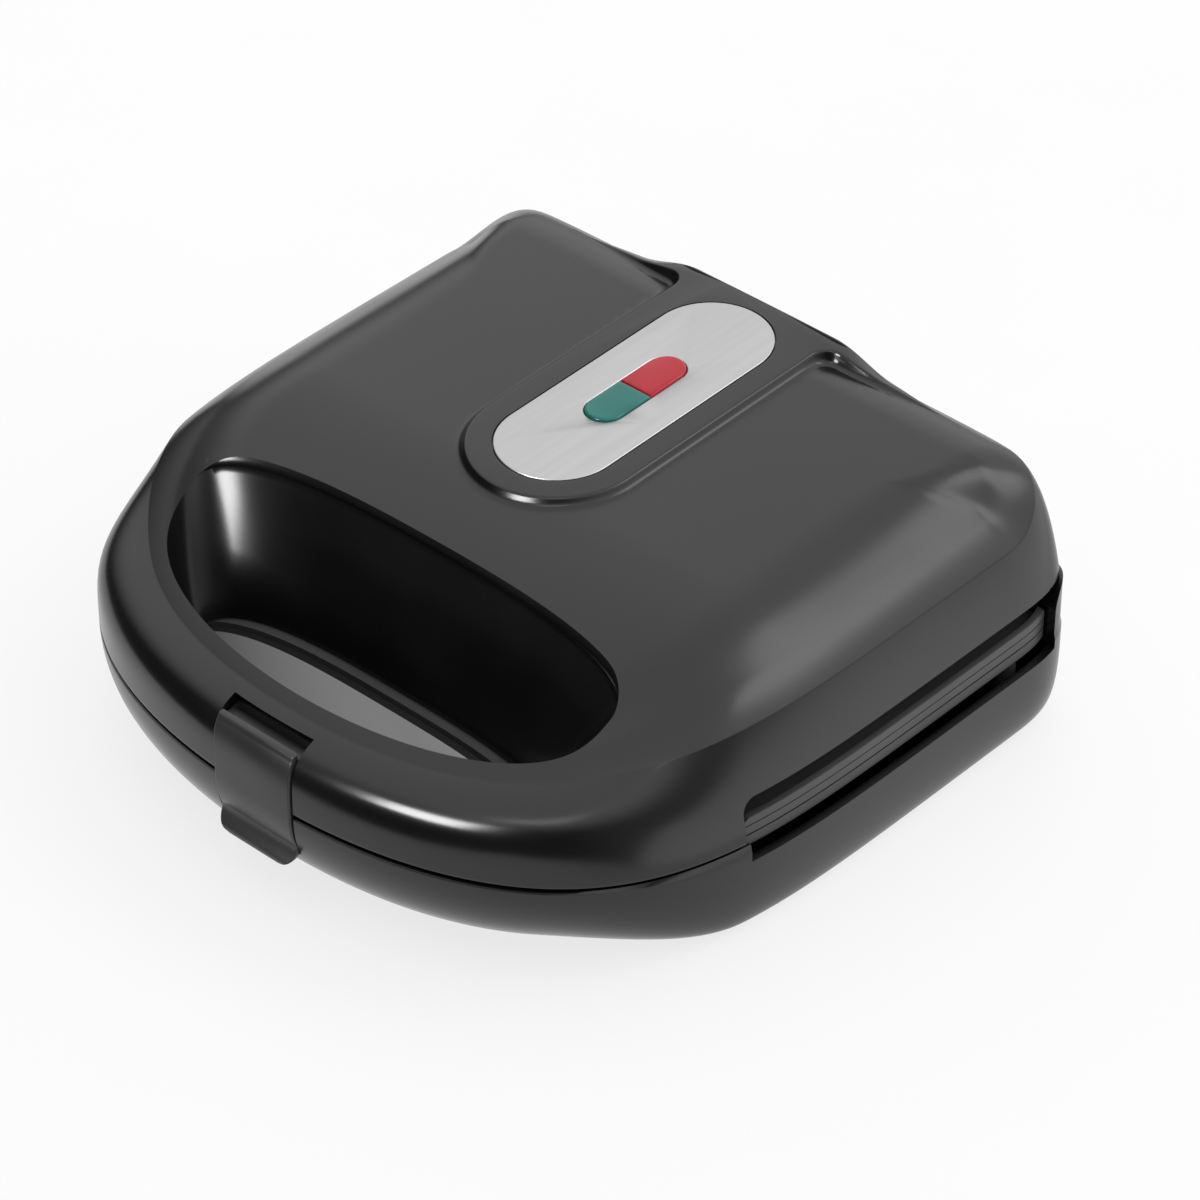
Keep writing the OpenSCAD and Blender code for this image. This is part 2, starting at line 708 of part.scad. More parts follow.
// A pan-head screw, head below z = 0 and shank above it.
module screw(l) {
    translate([0, 0, -head_h]) difference() {
        cylinder(r = head_r, h = head_h);
        for (a = [0, 90]) rotate([0, 0, a]) translate([-2, -0.4, -0.01]) cube([4, 0.8, 0.9]);
    }
    cylinder(r = screw_r, h = l);
}

module lower_plate_screws() {
    color(steel) at_points(plate_screws) translate([0, 0, part_z - boss_end - 0.1 - sheet]) screw(7);
}

module upper_plate_screws() {
    color(steel) at_points(plate_screws) translate([0, 0, part_z + boss_end + 0.1 + sheet])
        mirror([0, 0, 1]) screw(7);
}

module base_screws() {
    color(steel) at_points(base_bosses) translate([0, 0, under_z + 5]) screw(12);
}

module lid_screws() {
    color(steel) {
        for (k = [0:1]) translate([lid_bosses[k][0], lid_bosses[k][1], part_z + slack + head_h + 0.05])
            screw(12);
        for (k = [2:3]) translate([lid_bosses[k][0], lid_bosses[k][1], ledge_z]) screw(11);
    }
}

// A spacer between a reflector and its shell, riveted through the sheet at one end.
module stud(l) {
    cylinder(r = stud_r, h = l);
    translate([0, 0, -sheet - 0.3]) cylinder(r = screw_r, h = sheet + 1);
    translate([0, 0, -sheet - 1.7]) cylinder(r = stud_r, h = 1.4);
}

module reflector_studs_lower() {
    z1 = part_z - boss_end - 0.2 - sheet;
    z0 = under_z + wall + 0.1;
    color(steel) at_points(stud_points) translate([0, 0, z1]) mirror([0, 0, 1]) {
        stud(z1 - z0);
        translate([0, 0, z1 - z0 - 1]) cylinder(r = stud_r + 2, h = 1);
    }
}

module reflector_studs_upper() {
    z0 = part_z + boss_end + 0.2 + sheet;
    color(steel) at_points(stud_points) {
        translate([0, 0, z0]) stud(lid_stud_z - 0.1 - z0);
        translate([0, 0, lid_stud_z - 1]) cylinder(r = screw_r, h = 5);
    }
}

// ---- Electrical pieces ----

module thermostat() {
    z1 = part_z - half_gap - plate_h - 0.1 + element_sink;
    color([0.85, 0.82, 0.75]) translate([0, plate_y, 0]) {
        translate([0, 0, z1 - 8]) cylinder(r = 8, h = 8);
        translate([0, 0, z1 - 11]) cylinder(r = 5, h = 3);
        for (x = [-6, 3.5]) translate([x, -3, z1 - 9.5]) cube([2.5, 6, 1.6]);
    }
}

module thermal_fuse() {
    z = part_z - half_gap - plate_h + element_sink - 2.1;
    color([0.8, 0.78, 0.7]) translate([0, plate_y + 13, z]) along_x(2, 20, 42);
}

module terminal_block() {
    color([0.9, 0.9, 0.86]) difference() {
        translate([-48, term_y, under_z + wall + 0.1]) cube([26, 9, 12]);
        for (x = [-43.5, -35, -26.5]) {
            translate([x, term_y - 1, lead_z]) rotate([-90, 0, 0]) cylinder(r = 1.6, h = 12);
            translate([x, term_y + 4.5, under_z + wall + 8]) cylinder(r = 1.5, h = 6);
        }
    }
}

module cord_gland() {
    color(liner_black) translate([gland_x, rear_y - wall, gland_z]) rotate([-90, 0, 0]) difference() {
        union() {
            translate([0, 0, -3.2]) cylinder(r = gland_r, h = 2);
            translate([0, 0, -2]) cylinder(r = gland_r - 1.2, h = wall + 2.6);
            translate([0, 0, wall + 0.3]) cylinder(r1 = gland_r + 0.6, r2 = gland_r - 0.8, h = 1.6);
        }
        translate([0, 0, -4]) cylinder(r = 3.4, h = 12);
    }
}

module rubber_foot() {
    cylinder(r1 = foot_r - 1, r2 = foot_r, h = 1);
    translate([0, 0, 1]) cylinder(r = foot_r, h = under_z - 1);
}

module front_feet() {
    color(rubber_black) at_points([foot_points[0], foot_points[1]]) rubber_foot();
}

module rear_feet() {
    color(rubber_black) at_points([foot_points[2], foot_points[3]]) rubber_foot();
}

// ---- Hinge ----

cheek_x = ear_x + ear_wall + 0.6;
cheek_t = 2.5;

module hinge_brackets() {
    leg_y = ear_front_y + ear_wall + 0.4;
    foot_z = under_z + wall + 0.1;
    color(metal) at_both_sides() difference() {
        union() {
            translate([0, hinge_y, hinge_z]) along_x(pin_r + 1.2, cheek_x, cheek_x + cheek_t);
            translate([cheek_x, leg_y, foot_z + 9]) cube([cheek_t, 5, hinge_z - foot_z - 9]);
            translate([cheek_x, leg_y, foot_z]) cube([cheek_t, 2.5, 12]);
            translate([cheek_x, leg_y - 6, foot_z]) cube([10, 8.5, 2]);
        }
        translate([0, hinge_y, hinge_z]) along_x(pin_r + fit, cheek_x - 1, cheek_x + cheek_t + 1);
    }
}

module hinge_pins() {
    color(steel) translate([0, hinge_y, hinge_z]) at_both_sides() {
        along_x(pin_r, barrel_half - 8, cheek_x + cheek_t + 1);
        along_x(pin_r + 0.9, cheek_x + cheek_t + 0.2, cheek_x + cheek_t + 1.6);
    }
}

module hinge_barrel() {
    color(liner_black) difference() {
        union() {
            translate([0, hinge_y, hinge_z]) along_x(barrel_r, -barrel_half, barrel_half);
            for (x = [-66, 50]) {
                translate([x, ledge_y, ledge_z]) cube([16, hinge_y - ledge_y, ledge_t]);
                for (e = [0, 14]) translate([x + e, hinge_y - 4.5, hinge_z])
                    cube([2, 6, ledge_z + ledge_t - hinge_z]);
            }
        }
        translate([0, hinge_y, hinge_z]) at_both_sides()
            along_x(pin_r + fit, barrel_half - 9, barrel_half + 1);
        for (k = [2:3]) translate([lid_bosses[k][0], lid_bosses[k][1], ledge_z - 1])
            cylinder(r = screw_r + 0.2, h = 5);
    }
}

// ---- Latch ----

latch_pin_y = -front_y + 7.4;
carrier_x = latch_w / 2 + 0.4;
latch_proud = 0.4;

// Points down the front of the body, from just under the latch's top to its lip.
front_line = concat(
    [for (t = [0.4, 0.3, 0.18, 0.08, 0.02]) let (p = skirt_point(0, t, 0, lid_z0))
        [p[1] - latch_proud, p[2]]],
    [for (t = [0, 0.12, 0.22, 0.3, 0.36]) let (p = base_point(0, t, 0)) [p[1] - latch_proud, p[2]]]);
strap_last = front_line[len(front_line) - 1];
strap_top = [front_line[0][0] + 0.8, latch_top_z - 0.2];
lip_drop = 7;

module latch_profile() {
    back = [for (k = [len(front_line) - 1:-1:1]) [front_line[k][0] + latch_t, front_line[k][1]]];
    lip = [for (e = [[-0.2, -1.6], [-1.1, -3.6], [-lip_reach, -lip_drop + 0.6], [0.6 - lip_reach, -lip_drop],
        [0.9, -4.4], [1.9, -1.8]]) strap_last + e];
    polygon(concat([strap_top], front_line, lip, back, [[strap_top[0] + latch_t - 1, latch_top_z - 0.5]]));
}

// Room in the base's wall for the lower end of the strap and for its hook.
module latch_channel() {
    back = latch_t + 0.4;
    last = len(front_line) - 1;
    translate([-latch_w / 2 - 0.6, 0, 0]) rotate([90, 0, 90]) linear_extrude(latch_w + 1.2)
        polygon([[-front_y - 3, part_z + 10], [-front_y - 3, strap_last[1] - 3.6], strap_last + [1.2, -3],
            strap_last + [back + 0.4, -1.6], strap_last + [back, 0], front_line[last - 1] + [back, 0],
            [wall + 1.6 - front_y, hook_z - 1.5], [wall + 1.6 - front_y, part_z + 10]]);
}

lip_r = 5;

module latch() {
    color(black) difference() {
        union() {
            translate([-latch_w / 2, 0, 0]) rotate([90, 0, 90]) linear_extrude(latch_w) latch_profile();
            translate([0, latch_pin_y, latch_pin_z]) along_x(2.8, -latch_w / 2, latch_w / 2);
            translate([-latch_w / 2, -front_y + 2.6, latch_pin_z - 2.8])
                cube([latch_w, latch_pin_y + front_y - 2.6, 5.6]);
            translate([-11, -front_y + 1.8, hook_z]) cube([22, 3.6, 2]);
        }
        translate([0, latch_pin_y, latch_pin_z]) along_x(latch_pin_r + fit, -latch_w, latch_w);
        at_both_sides() translate([latch_w / 2 - lip_r, 0, strap_last[1] - lip_drop + lip_r])
            rotate([90, 0, 0]) linear_extrude(front_y + 20) difference() {
                translate([0, -lip_r - 2]) square(lip_r + 2);
                circle(r = lip_r);
            }
    }
}

module latch_carrier() {
    z0 = part_z + slack + flange_t + 0.2;
    tip_r = latch_pin_r + 0.7;
    cheek = 3;
    color(liner_black) difference() {
        union() {
            for (x = [-carrier_x - cheek, carrier_x]) {
                translate([x, latch_pin_y - tip_r, z0]) cube([cheek, 9, latch_pin_z - z0]);
                translate([x, latch_pin_y, z0]) cube([cheek, 9 - tip_r, latch_pin_z + tip_r - z0]);
                translate([0, latch_pin_y, latch_pin_z]) along_x(tip_r, x, x + cheek);
            }
            translate([-carrier_x - 1, latch_pin_y + 9 - tip_r - 2.6, z0])
                cube([2 * carrier_x + 2, 2.6, latch_pin_z + tip_r - z0]);
        }
        translate([0, latch_pin_y, latch_pin_z]) along_x(latch_pin_r + fit, -carrier_x - 5, carrier_x + 5);
    }
}

module latch_pin() {
    color(steel) translate([0, latch_pin_y, latch_pin_z])
        along_x(latch_pin_r, -carrier_x - 3.2, carrier_x + 3.2);
}

module base_catch() {
    z1 = part_z - slack - flange_t - 0.1;
    color(steel) {
        translate([-12, -front_y + 3.7, z1 - 1.5]) cube([24, 8, 1.5]);
        translate([-12, -front_y + 3.7, z1 - 1.8]) cube([24, 1, 1]);
    }
}

// ---- Indicator ----

module trim_plate() {
    color(metal) difference() {
        tilted() stadium(trim_l, trim_w, -trim_t, 0);
        tilted() stadium(lens_l + 0.3, lens_w + 0.3, -4, 4);
    }
}

lens_drop = 6.6;
lens_crown = 42;              // radius of the lenses' arched upper face

module lens_half(s) {
    tilted() intersection() {
        stadium(lens_l, lens_w, -lens_drop, 1.2);
        translate([-lens_w, s > 0 ? trim_y + 0.05 : trim_y - lens_l, -lens_drop])
            cube([2 * lens_w, lens_l - 0.05, lens_drop + 2]);
        translate([0, trim_y - lens_l, 0.8 - lens_crown]) rotate([-90, 0, 0])
            cylinder(r = lens_crown, h = 2 * lens_l, $fn = 96);
    }
}

module red_lens() {
    color([0.75, 0.1, 0.16]) lens_half(1);
}

module green_lens() {
    color([0.13, 0.5, 0.44]) lens_half(-1);
}

holder_h = 12;
lamp_r = 3;

module lamp_holder() {
    top = -band_h - wall - 0.1;
    low = -lens_drop - 0.1 - holder_h;
    color([0.92, 0.92, 0.9]) tilted() difference() {
        translate([-9, trim_y - 23, low]) cube([18, 46, top - low]);
        for (y = [trim_y - 20.5, trim_y + 1]) translate([-5, y, low + 2]) cube([10, 19.5, holder_h]);
        stadium(lens_l + 0.6, lens_w + 0.6, -lens_drop - 0.05, 0);
    }
}

module neon_lamps() {
    color([0.95, 0.75, 0.55]) tilted() for (y = [trim_y - 18, trim_y + 4])
        translate([0, y, -lens_drop - holder_h + 2.2 + lamp_r]) rotate([-90, 0, 0]) {
            cylinder(r = lamp_r, h = 11);
            translate([0, 0, 11]) sphere(r = lamp_r);
        }
}

// ---- Leads ----

function unit(v) = v / norm(v);
function lead_ring(p, dir, r) = let (side = unit(cross(dir, [0, 0, 1])), up = cross(side, dir))
    [for (a = [0:45:315]) p + r * (cos(a) * side + sin(a) * up)];

module lead(points, r) {
    n = len(points);
    dirs = [for (k = [0:n - 1]) unit(points[min(k + 1, n - 1)] - points[max(k - 1, 0)])];
    loft([for (k = [0:n - 1]) lead_ring(points[k], dirs[k], r)]);
}

// From beside the plate to the heating element's end pin at depth y.
lead_r = 1.2;
function lead_end(y, z, dz) = [[-103.5, y + 9, z - 3.5 * dz], [-101, y + 3, z - 1.5 * dz], [-97, y, z],
    [-element_x - 23.5, y, z]];

module base_leads() {
    z = part_z - element_up;
    low = lead_z - 0.3;
    color(lead_white) {
        lead(concat([[-43.5, term_y + 3, lead_z], [-43.5, term_y - 6, lead_z], [-52, term_y - 14, lead_z],
            [-90, plate_y + 38, lead_z], [-101.5, plate_y + 37, lead_z + 1]],
            lead_end(plate_y + element_y, z, 1)), lead_r);
        lead(concat([[-35, term_y + 3, lead_z], [-35, term_y - 10, low], [-46, plate_y + 23.5, low],
            [-90, plate_y + 15.5, low], [-102, plate_y + 5, low + 1]],
            lead_end(plate_y - element_y, z, 1)), lead_r);
    }
}

module lid_leads() {
    z = part_z + element_up;
    over = part_z + boss_end + sheet + 4;
    end_y = trim_y + 23.3;
    color(lead_white) {
        lead(concat([for (k = [3:-1:0]) lead_end(plate_y + element_y, z, -1)[k]],
            [[-103, plate_y + 40, over - 1], [-95, 82, over], [-60, 84, over + 2], [-25, 84, over + 7],
                [-3, end_y + 6, over + 14], [-3, end_y, over + 14]]), lead_r);
        lead(concat([for (k = [3:-1:0]) lead_end(plate_y - element_y, z, -1)[k]],
            [[-104.5, plate_y - 8, over - 1], [-106, plate_y + 40, over], [-98, 87, over + 3],
                [-60, 89, over + 5], [-22, 89, over + 9.5], [3, end_y + 8, over + 14], [3, end_y, over + 14]]), lead_r);
    }
}

base_shell();
lid_shell();
base_liner();
lid_liner();
lower_plate();
upper_plate();
lower_element();
upper_element();
lower_reflector();
upper_reflector();
lower_plate_screws();
upper_plate_screws();
base_screws();
lid_screws();
reflector_studs_lower();
reflector_studs_upper();
thermostat();
thermal_fuse();
terminal_block();
cord_gland();
front_feet();
rear_feet();
hinge_brackets();
hinge_pins();
hinge_barrel();
latch_carrier();
latch_pin();
latch();
base_catch();
trim_plate();
red_lens();
green_lens();
lamp_holder();
neon_lamps();
base_leads();
lid_leads();
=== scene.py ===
import json
import math

import bmesh
import bpy
import numpy as np
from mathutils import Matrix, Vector


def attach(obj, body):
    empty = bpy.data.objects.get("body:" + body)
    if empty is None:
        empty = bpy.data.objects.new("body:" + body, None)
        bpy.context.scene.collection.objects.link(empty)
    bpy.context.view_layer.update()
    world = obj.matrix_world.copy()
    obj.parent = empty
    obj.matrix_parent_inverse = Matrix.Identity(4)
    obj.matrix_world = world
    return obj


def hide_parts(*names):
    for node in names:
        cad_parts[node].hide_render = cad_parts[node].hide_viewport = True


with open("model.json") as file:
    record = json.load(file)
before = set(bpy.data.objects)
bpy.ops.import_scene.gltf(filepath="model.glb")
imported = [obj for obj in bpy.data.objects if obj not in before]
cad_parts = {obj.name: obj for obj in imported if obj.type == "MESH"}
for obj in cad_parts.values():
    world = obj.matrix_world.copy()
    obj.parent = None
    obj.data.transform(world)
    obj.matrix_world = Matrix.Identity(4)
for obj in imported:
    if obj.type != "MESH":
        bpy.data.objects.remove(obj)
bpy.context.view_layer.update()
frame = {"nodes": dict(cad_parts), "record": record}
scene = bpy.context.scene
mm = 0.001

# sizes of the moulded body, in millimetres; its rear corners are squarer than the solids'
body = {
    "halfWidth": 120.9, "rearY": 112.6, "frontY": 112.0, "widestY": 80.0, "cornerPower": 3.3,
    "sidePower": 5.28, "frontPower": 2.13,
    "partHeight": 34.0, "partGap": 1.2, "under": 3.0, "wall": 2.5, "edgeRound": 0.6,
    # the sides' top edge: its height, lower in front and higher behind, and how far in it lies
    "shoulder": 67.0, "frontDip": 6.0, "rearClimb": 16.0, "inset": 8.6, "frontInset": 5.4, "rearInset": 2.6,
    # the panel with its fall towards the grip, and the bevel that climbs to it
    "panel": 86.0, "tilt": 0.02, "crown": 0.0002, "drop": 23.0, "dropFrom": -2.0, "dropReach": 94.0,
    "bevel": 26.0, "bevelReach": 24.0, "innerRise": 12.0, "blend": 12.0,
    "frontSteps": 72, "cornerSteps": 22, "rearSteps": 30,
}
widestY = body["widestY"]
frontLength = widestY + body["frontY"]
lidZ = body["partHeight"] + body["partGap"] / 2
baseZ = body["partHeight"] - body["partGap"] / 2


def lerp(a, b, t):
    return a + (b - a) * t


def smooth(t):
    c = np.clip(t, 0, 1)
    return c * c * (3 - 2 * c)


def softMin(a, b, k):
    h = np.maximum(k - np.abs(a - b), 0) / k
    return np.minimum(a, b) - h * h * k / 4


def meshPiece(name, verts, faces):
    mesh = bpy.data.meshes.new(name)
    mesh.from_pydata((np.asarray(verts, float) * mm).tolist(), [], faces)
    mesh.update()
    piece = bpy.data.objects.new(name, mesh)
    scene.collection.objects.link(piece)
    return piece


def ringFaces(rows, around, capped=True, first=0):
    i = np.arange(around)
    j = (i + 1) % around
    faces = []
    for k in range(rows - 1):
        a, b = first + k * around, first + (k + 1) * around
        faces += np.stack([a + i, a + j, b + j, b + i], 1).tolist()
    if capped:
        faces.append((first + i[::-1]).tolist())
        faces.append((first + (rows - 1) * around + i).tolist())
    return faces


def ringLoft(name, rings):
    # a closed solid through rings that run counter-clockwise from above, lowest first
    rings = np.asarray(rings, float)
    return meshPiece(name, rings.reshape(-1, 3), ringFaces(len(rings), rings.shape[1]))


def atHeight(outlineXY, z):
    return np.column_stack([np.asarray(outlineXY, float), np.full(len(outlineXY), z)])


def prism(name, outlineXY, z0, z1):
    return ringLoft(name, [atHeight(outlineXY, z) for z in (z0, z1)])


def sideSpan(side, near, far):
    # the two x values, lower one first, on the side that is -1 or 1
    return sorted((side * near, side * far))


def boxSolid(name, low, high):
    (x0, y0, z0), (x1, y1, z1) = low, high
    return prism(name, [(x0, y0), (x1, y0), (x1, y1), (x0, y1)], z0, z1)


def alongX(name, outlineYZ, x0, x1):
    # a prism along X from an outline in the side view
    flat = np.asarray(outlineYZ, float)
    rings = [np.column_stack([np.full(len(flat), x), flat]) for x in (x0, x1)]
    piece = meshPiece(name, np.vstack(rings), ringFaces(2, len(flat)))
    recalculate(piece)
    return piece


def arc(cx, cy, radius, start, end, count):
    # points of an arc, with its angles in degrees
    a = np.radians(np.linspace(start, end, count))
    return np.column_stack([cx + radius * np.cos(a), cy + radius * np.sin(a)])


def circle(cx, cy, radius, sides):
    return arc(cx, cy, radius, 0, 360, sides + 1)[:-1]


def rodX(name, radius, y, z, x0, x1, sides=48):
    return alongX(name, circle(y, z, radius, sides), x0, x1)


def post(name, x, y, radius, z0, z1, sides=40):
    return prism(name, circle(x, y, radius, sides), z0, z1)


def recalculate(piece):
    work = bmesh.new()
    work.from_mesh(piece.data)
    bmesh.ops.recalc_face_normals(work, faces=work.faces[:])
    work.to_mesh(piece.data)
    work.free()


def duplicate(piece):
    twin = piece.copy()
    twin.data = piece.data.copy()
    scene.collection.objects.link(twin)
    return twin


def removePiece(piece):
    mesh = piece.data
    bpy.data.objects.remove(piece)
    if mesh.users == 0:
        bpy.data.meshes.remove(mesh)


def settle(piece):
    # swaps a piece's mesh for what its modifiers give, and drops the modifiers
    graph = bpy.context.evaluated_depsgraph_get()
    result = bpy.data.meshes.new_from_object(piece.evaluated_get(graph))
    old = piece.data
    piece.modifiers.clear()
    piece.data = result
    result.name = piece.name
    bpy.data.meshes.remove(old)
    return piece


def carve(piece, tools, operation="DIFFERENCE"):
    for tool in tools:
        step = piece.modifiers.new("carve", "BOOLEAN")
        step.operation = operation
        step.solver = "MANIFOLD"
        step.object = tool
        settle(piece)
        removePiece(tool)
    return piece


def finishSurface(piece, angle=32):
    piece.data.shade_smooth()
    piece.data.set_sharp_from_angle(angle=math.radians(angle))
    return piece


def flipX(points):
    # the other half of an outline that starts and ends on the middle plane
    back = points[-2:0:-1].copy()
    back[:, 0] *= -1
    return np.vstack([points, back])


def roundedRect(x0, x1, y0, y1, radius, steps=10):
    return np.vstack([arc(cx, cy, radius, start, start + 90, steps + 1) for cx, cy, start in (
        (x1 - radius, y0 + radius, -90), (x1 - radius, y1 - radius, 0),
        (x0 + radius, y1 - radius, 90), (x0 + radius, y0 + radius, 180))])


def throughPoints(points, count):
    # a smooth curve through the points, with evenly shared steps
    p = np.asarray(points, float)
    p = np.vstack([2 * p[0] - p[1], p, 2 * p[-1] - p[-2]])
    out = []
    for k in range(1, len(p) - 2):
        for t in np.linspace(0, 1, count, endpoint=False):
            a, b, c, d = p[k - 1:k + 3]
            out.append(0.5 * (2 * b + (c - a) * t + (2 * a - 5 * b + 4 * c - d) * t ** 2
                              + (3 * b - a - 3 * c + d) * t ** 3))
    return np.array(out + [p[-2]])


# the body's outline and surfaces

stations = np.concatenate([
    np.linspace(0, 16, body["frontSteps"] + 1),
    np.linspace(16, 22, body["cornerSteps"] + 1)[1:],
    np.linspace(22, 25, body["rearSteps"] + 1)[1:]])


def halfPoint(i, d):
    v = np.cos(np.pi / 2 * np.clip(i, 0, 16) / 16)
    across = np.maximum(0, 1 - v ** body["sidePower"]) ** (1 / body["frontPower"])
    front = np.stack([(body["halfWidth"] - d) * across, widestY - (frontLength - d) * v])
    # the rear corners are squarer along the outer edge and rounder further in
    c = body["rearY"] - widestY
    straight = body["halfWidth"] - c
    a = np.pi / 2 * (np.clip(i, 16, 22) - 16) / 6
    power = 2 / lerp(body["cornerPower"], 2, smooth(d / 16))
    corner = np.stack([straight + (c - d) * np.cos(a) ** power, widestY + (c - d) * np.sin(a) ** power])
    rear = np.stack([straight * (1 - (np.clip(i, 22, 25) - 22) / 3), body["rearY"] - d + 0 * i])
    return np.where(i <= 16, front, np.where(i < 22, corner, rear))


frontness = smooth((-35 - halfPoint(stations, 0)[1]) / 55)
# the rear edge climbs from the corners towards the middle
rearness = smooth((stations - 16.5) / 6)
shoulderZ = body["shoulder"] - body["frontDip"] * frontness + body["rearClimb"] * rearness
shoulderIn = body["inset"] + body["frontInset"] * frontness - body["rearInset"] * rearness
innerRing, middleY = 20, 5
outward = halfPoint(stations, innerRing) - halfPoint(stations, innerRing + 1)
outward /= np.hypot(*outward)
innerSpan = (halfPoint(stations, innerRing) * outward).sum(0) - middleY * outward[1]


def panelHeight(x, y):
    share = (np.maximum(body["dropFrom"] - y, 0) / body["dropReach"]) ** 1.8
    fall = body["drop"] * share * (1 + 0.00004 * x * x)
    return body["panel"] + body["tilt"] * (y - 20) - body["crown"] * x * x - fall


def bevelRise(d, inset, f=0):
    # the climb from the shoulder, a distance inset from the edge, up to and past the panel
    climb = 1 - np.exp(-(d - inset) / (body["bevelReach"] + 6 * f))
    return body["bevel"] * climb + body["innerRise"] * smooth((d - 18) / 30)


def topHeight(x, y, d):
    return softMin(panelHeight(x, y), shoulderZ + bevelRise(d, shoulderIn, frontness), body["blend"])


def closeRing(xy, z):
    return flipX(np.column_stack([xy[0], xy[1], z + 0 * xy[0]]))


def outlineRing(d):
    return closeRing(halfPoint(stations, d), 0)[:, :2]


def edgeInset(rise):
    # how far a rounded lower edge pulls in at a height over it
    r = body["edgeRound"]
    h = np.clip(rise, 0, r)
    return r - np.sqrt(np.maximum(r * r - (r - h) ** 2, 0))


def lidRings(w, z0, rounded):
    am = np.radians(45 + 25 * frontness + 25 * rearness)
    q = halfPoint(stations, shoulderIn)
    ze = topHeight(q[0], q[1], shoulderIn)
    steps = np.sin(np.radians(np.linspace(2, 60, 30))) / math.sin(math.radians(60))
    steps = np.concatenate([[0, 0.0015, 0.004, 0.008, 0.013, 0.019], steps[:-1], [0.985, 0.994, 1]])
    rings = []
    flat = (1 - frontness) * (1 - rearness)
    for h in steps:
        a = np.arcsin(np.clip(np.sin(am) * h ** ((2 + 3 * frontness + rearness) / 2), 0, 1))
        d = shoulderIn * lerp((1 - np.cos(a)) / (1 - np.cos(am)), h ** 1.5, flat)
        rise = (ze - w - z0) * h
        pull = edgeInset(rise) if rounded else 0
        rings.append(closeRing(halfPoint(stations, d + w + pull), z0 + rise))
    for k in [0.02, 0.05] + list(np.linspace(0, 1, 14)[1:-1]):
        d = lerp(shoulderIn, innerRing, k)
        p, q = halfPoint(stations, d + w), halfPoint(stations, d)
        rings.append(closeRing(p, topHeight(q[0], q[1], d) - w))
    r, r2 = halfPoint(stations, innerRing), halfPoint(stations, innerRing + w)
    for s in np.linspace(1, 0.01, 90):
        q = np.stack([r[0] * s, middleY + (r[1] - middleY) * s])
        p = np.stack([r2[0] * s, middleY + (r2[1] - middleY) * s])
        rings.append(closeRing(p, topHeight(q[0], q[1], innerRing + innerSpan * (1 - s)) - w))
    return rings


# the grip recess and the hand opening

grip = {"halfWidth": 84.0, "rear": -36.0, "front": -96.0, "handHalfWidth": 65.0, "handRear": -52.0,
        "handFront": -90.0, "curve": 18.0, "rim": 4.0, "step": 7.0, "lean": 13.0, "turnSteps": 56}


def gripRing(z, xe, yb, yf, grow):
    ym = yb - grip["curve"]
    a = np.linspace(0, np.pi / 2, grip["turnSteps"] + 1)
    front = np.column_stack([(xe + grow) * np.sin(a), ym - (ym - yf + grow) * np.cos(a)])
    a = a[1:]
    c, s = np.cos(a), np.sin(a)
    size = (c ** 3 + s ** 3) ** (1 / 3)
    rear = np.column_stack([(xe + grow) * c / size, ym + (grip["curve"] + grow) * s / size])
    half = np.vstack([front, rear])
    return flipX(atHeight(half, z))


def lidGripRing(u, grow):
    g = grip
    low = gripRing(0, g["handHalfWidth"], g["handRear"], g["handFront"], grow)
    r = g["rim"]
    rim = gripRing(0, g["halfWidth"] - r / 2, g["rear"] - r / 2, g["front"] + r / 2, grow)
    out = gripRing(0, g["halfWidth"] + r, g["rear"] + r, g["front"] - r, grow)
    surface = panelHeight(rim[:, 0], rim[:, 1])
    v, t = min(1, u), max(0, u - 1)
    # the rear wall leans more than the bar's side, and the two blend round the recess's ends
    side = smooth((low[:, 1] - (g["handRear"] - g["curve"]) + 9) / 18)
    bend = v ** lerp(0.7, 1.3, side)
    xy = lerp(lerp(low[:, :2], rim[:, :2], bend[:, None]), out[:, :2], t * t)
    z = lerp(lerp(body["partHeight"], surface - 0.7 * r, v), surface + 1.2 * r, t)
    return np.column_stack([xy, z])


def lidGripSolid(name, grow, z0):
    foot = lidGripRing(0, grow)
    foot[:, 2] = z0
    return ringLoft(name, [foot] + [lidGripRing(u, grow) for u in
                                    list(np.linspace(0, 1, 26)) + list(np.linspace(1, 2, 18))[1:]])


def baseGripSolid(name, grow, z0, z1):
    rings = []
    for z in (z0, z1):
        t = (baseZ - z) / baseZ
        rings.append(gripRing(z, grip["handHalfWidth"] + 6 * t,
                              grip["handRear"] - grip["step"] + grip["lean"] * t, grip["handFront"], grow))
    return ringLoft(name, rings)


# the raised band round the trim plate, and the ridges along the rear edge

trim = {"length": 104.0, "width": 37.8, "middleY": 47.3, "thick": 1.2, "bandWidth": 8.5, "bandRise": 2.6,
        "ridgeY": 103.0, "ridgeHalf": 2.8, "ridgeEnd": 76.0, "ridgeFade": 78.0, "ridgeSteps": 26,
        "rearSteps": 34, "bendRadius": 6.2, "footReach": 3.4, "topRound": 0.8}
trimSlope = math.atan(body["tilt"])


def bandTop(x, y):
    return panelHeight(x, y) + trim["bandRise"]


def underBand(x, y):
    station = 25 - 3 * np.abs(x) / (body["halfWidth"] + widestY - body["rearY"])
    g = smooth((station - 16.5) / 6)
    d = body["rearY"] - y
    inset = body["inset"] - body["rearInset"] * g
    rise = bevelRise(np.maximum(d, inset - 8), inset)
    return softMin(panelHeight(x, y), body["shoulder"] + body["rearClimb"] * g + rise, body["blend"])


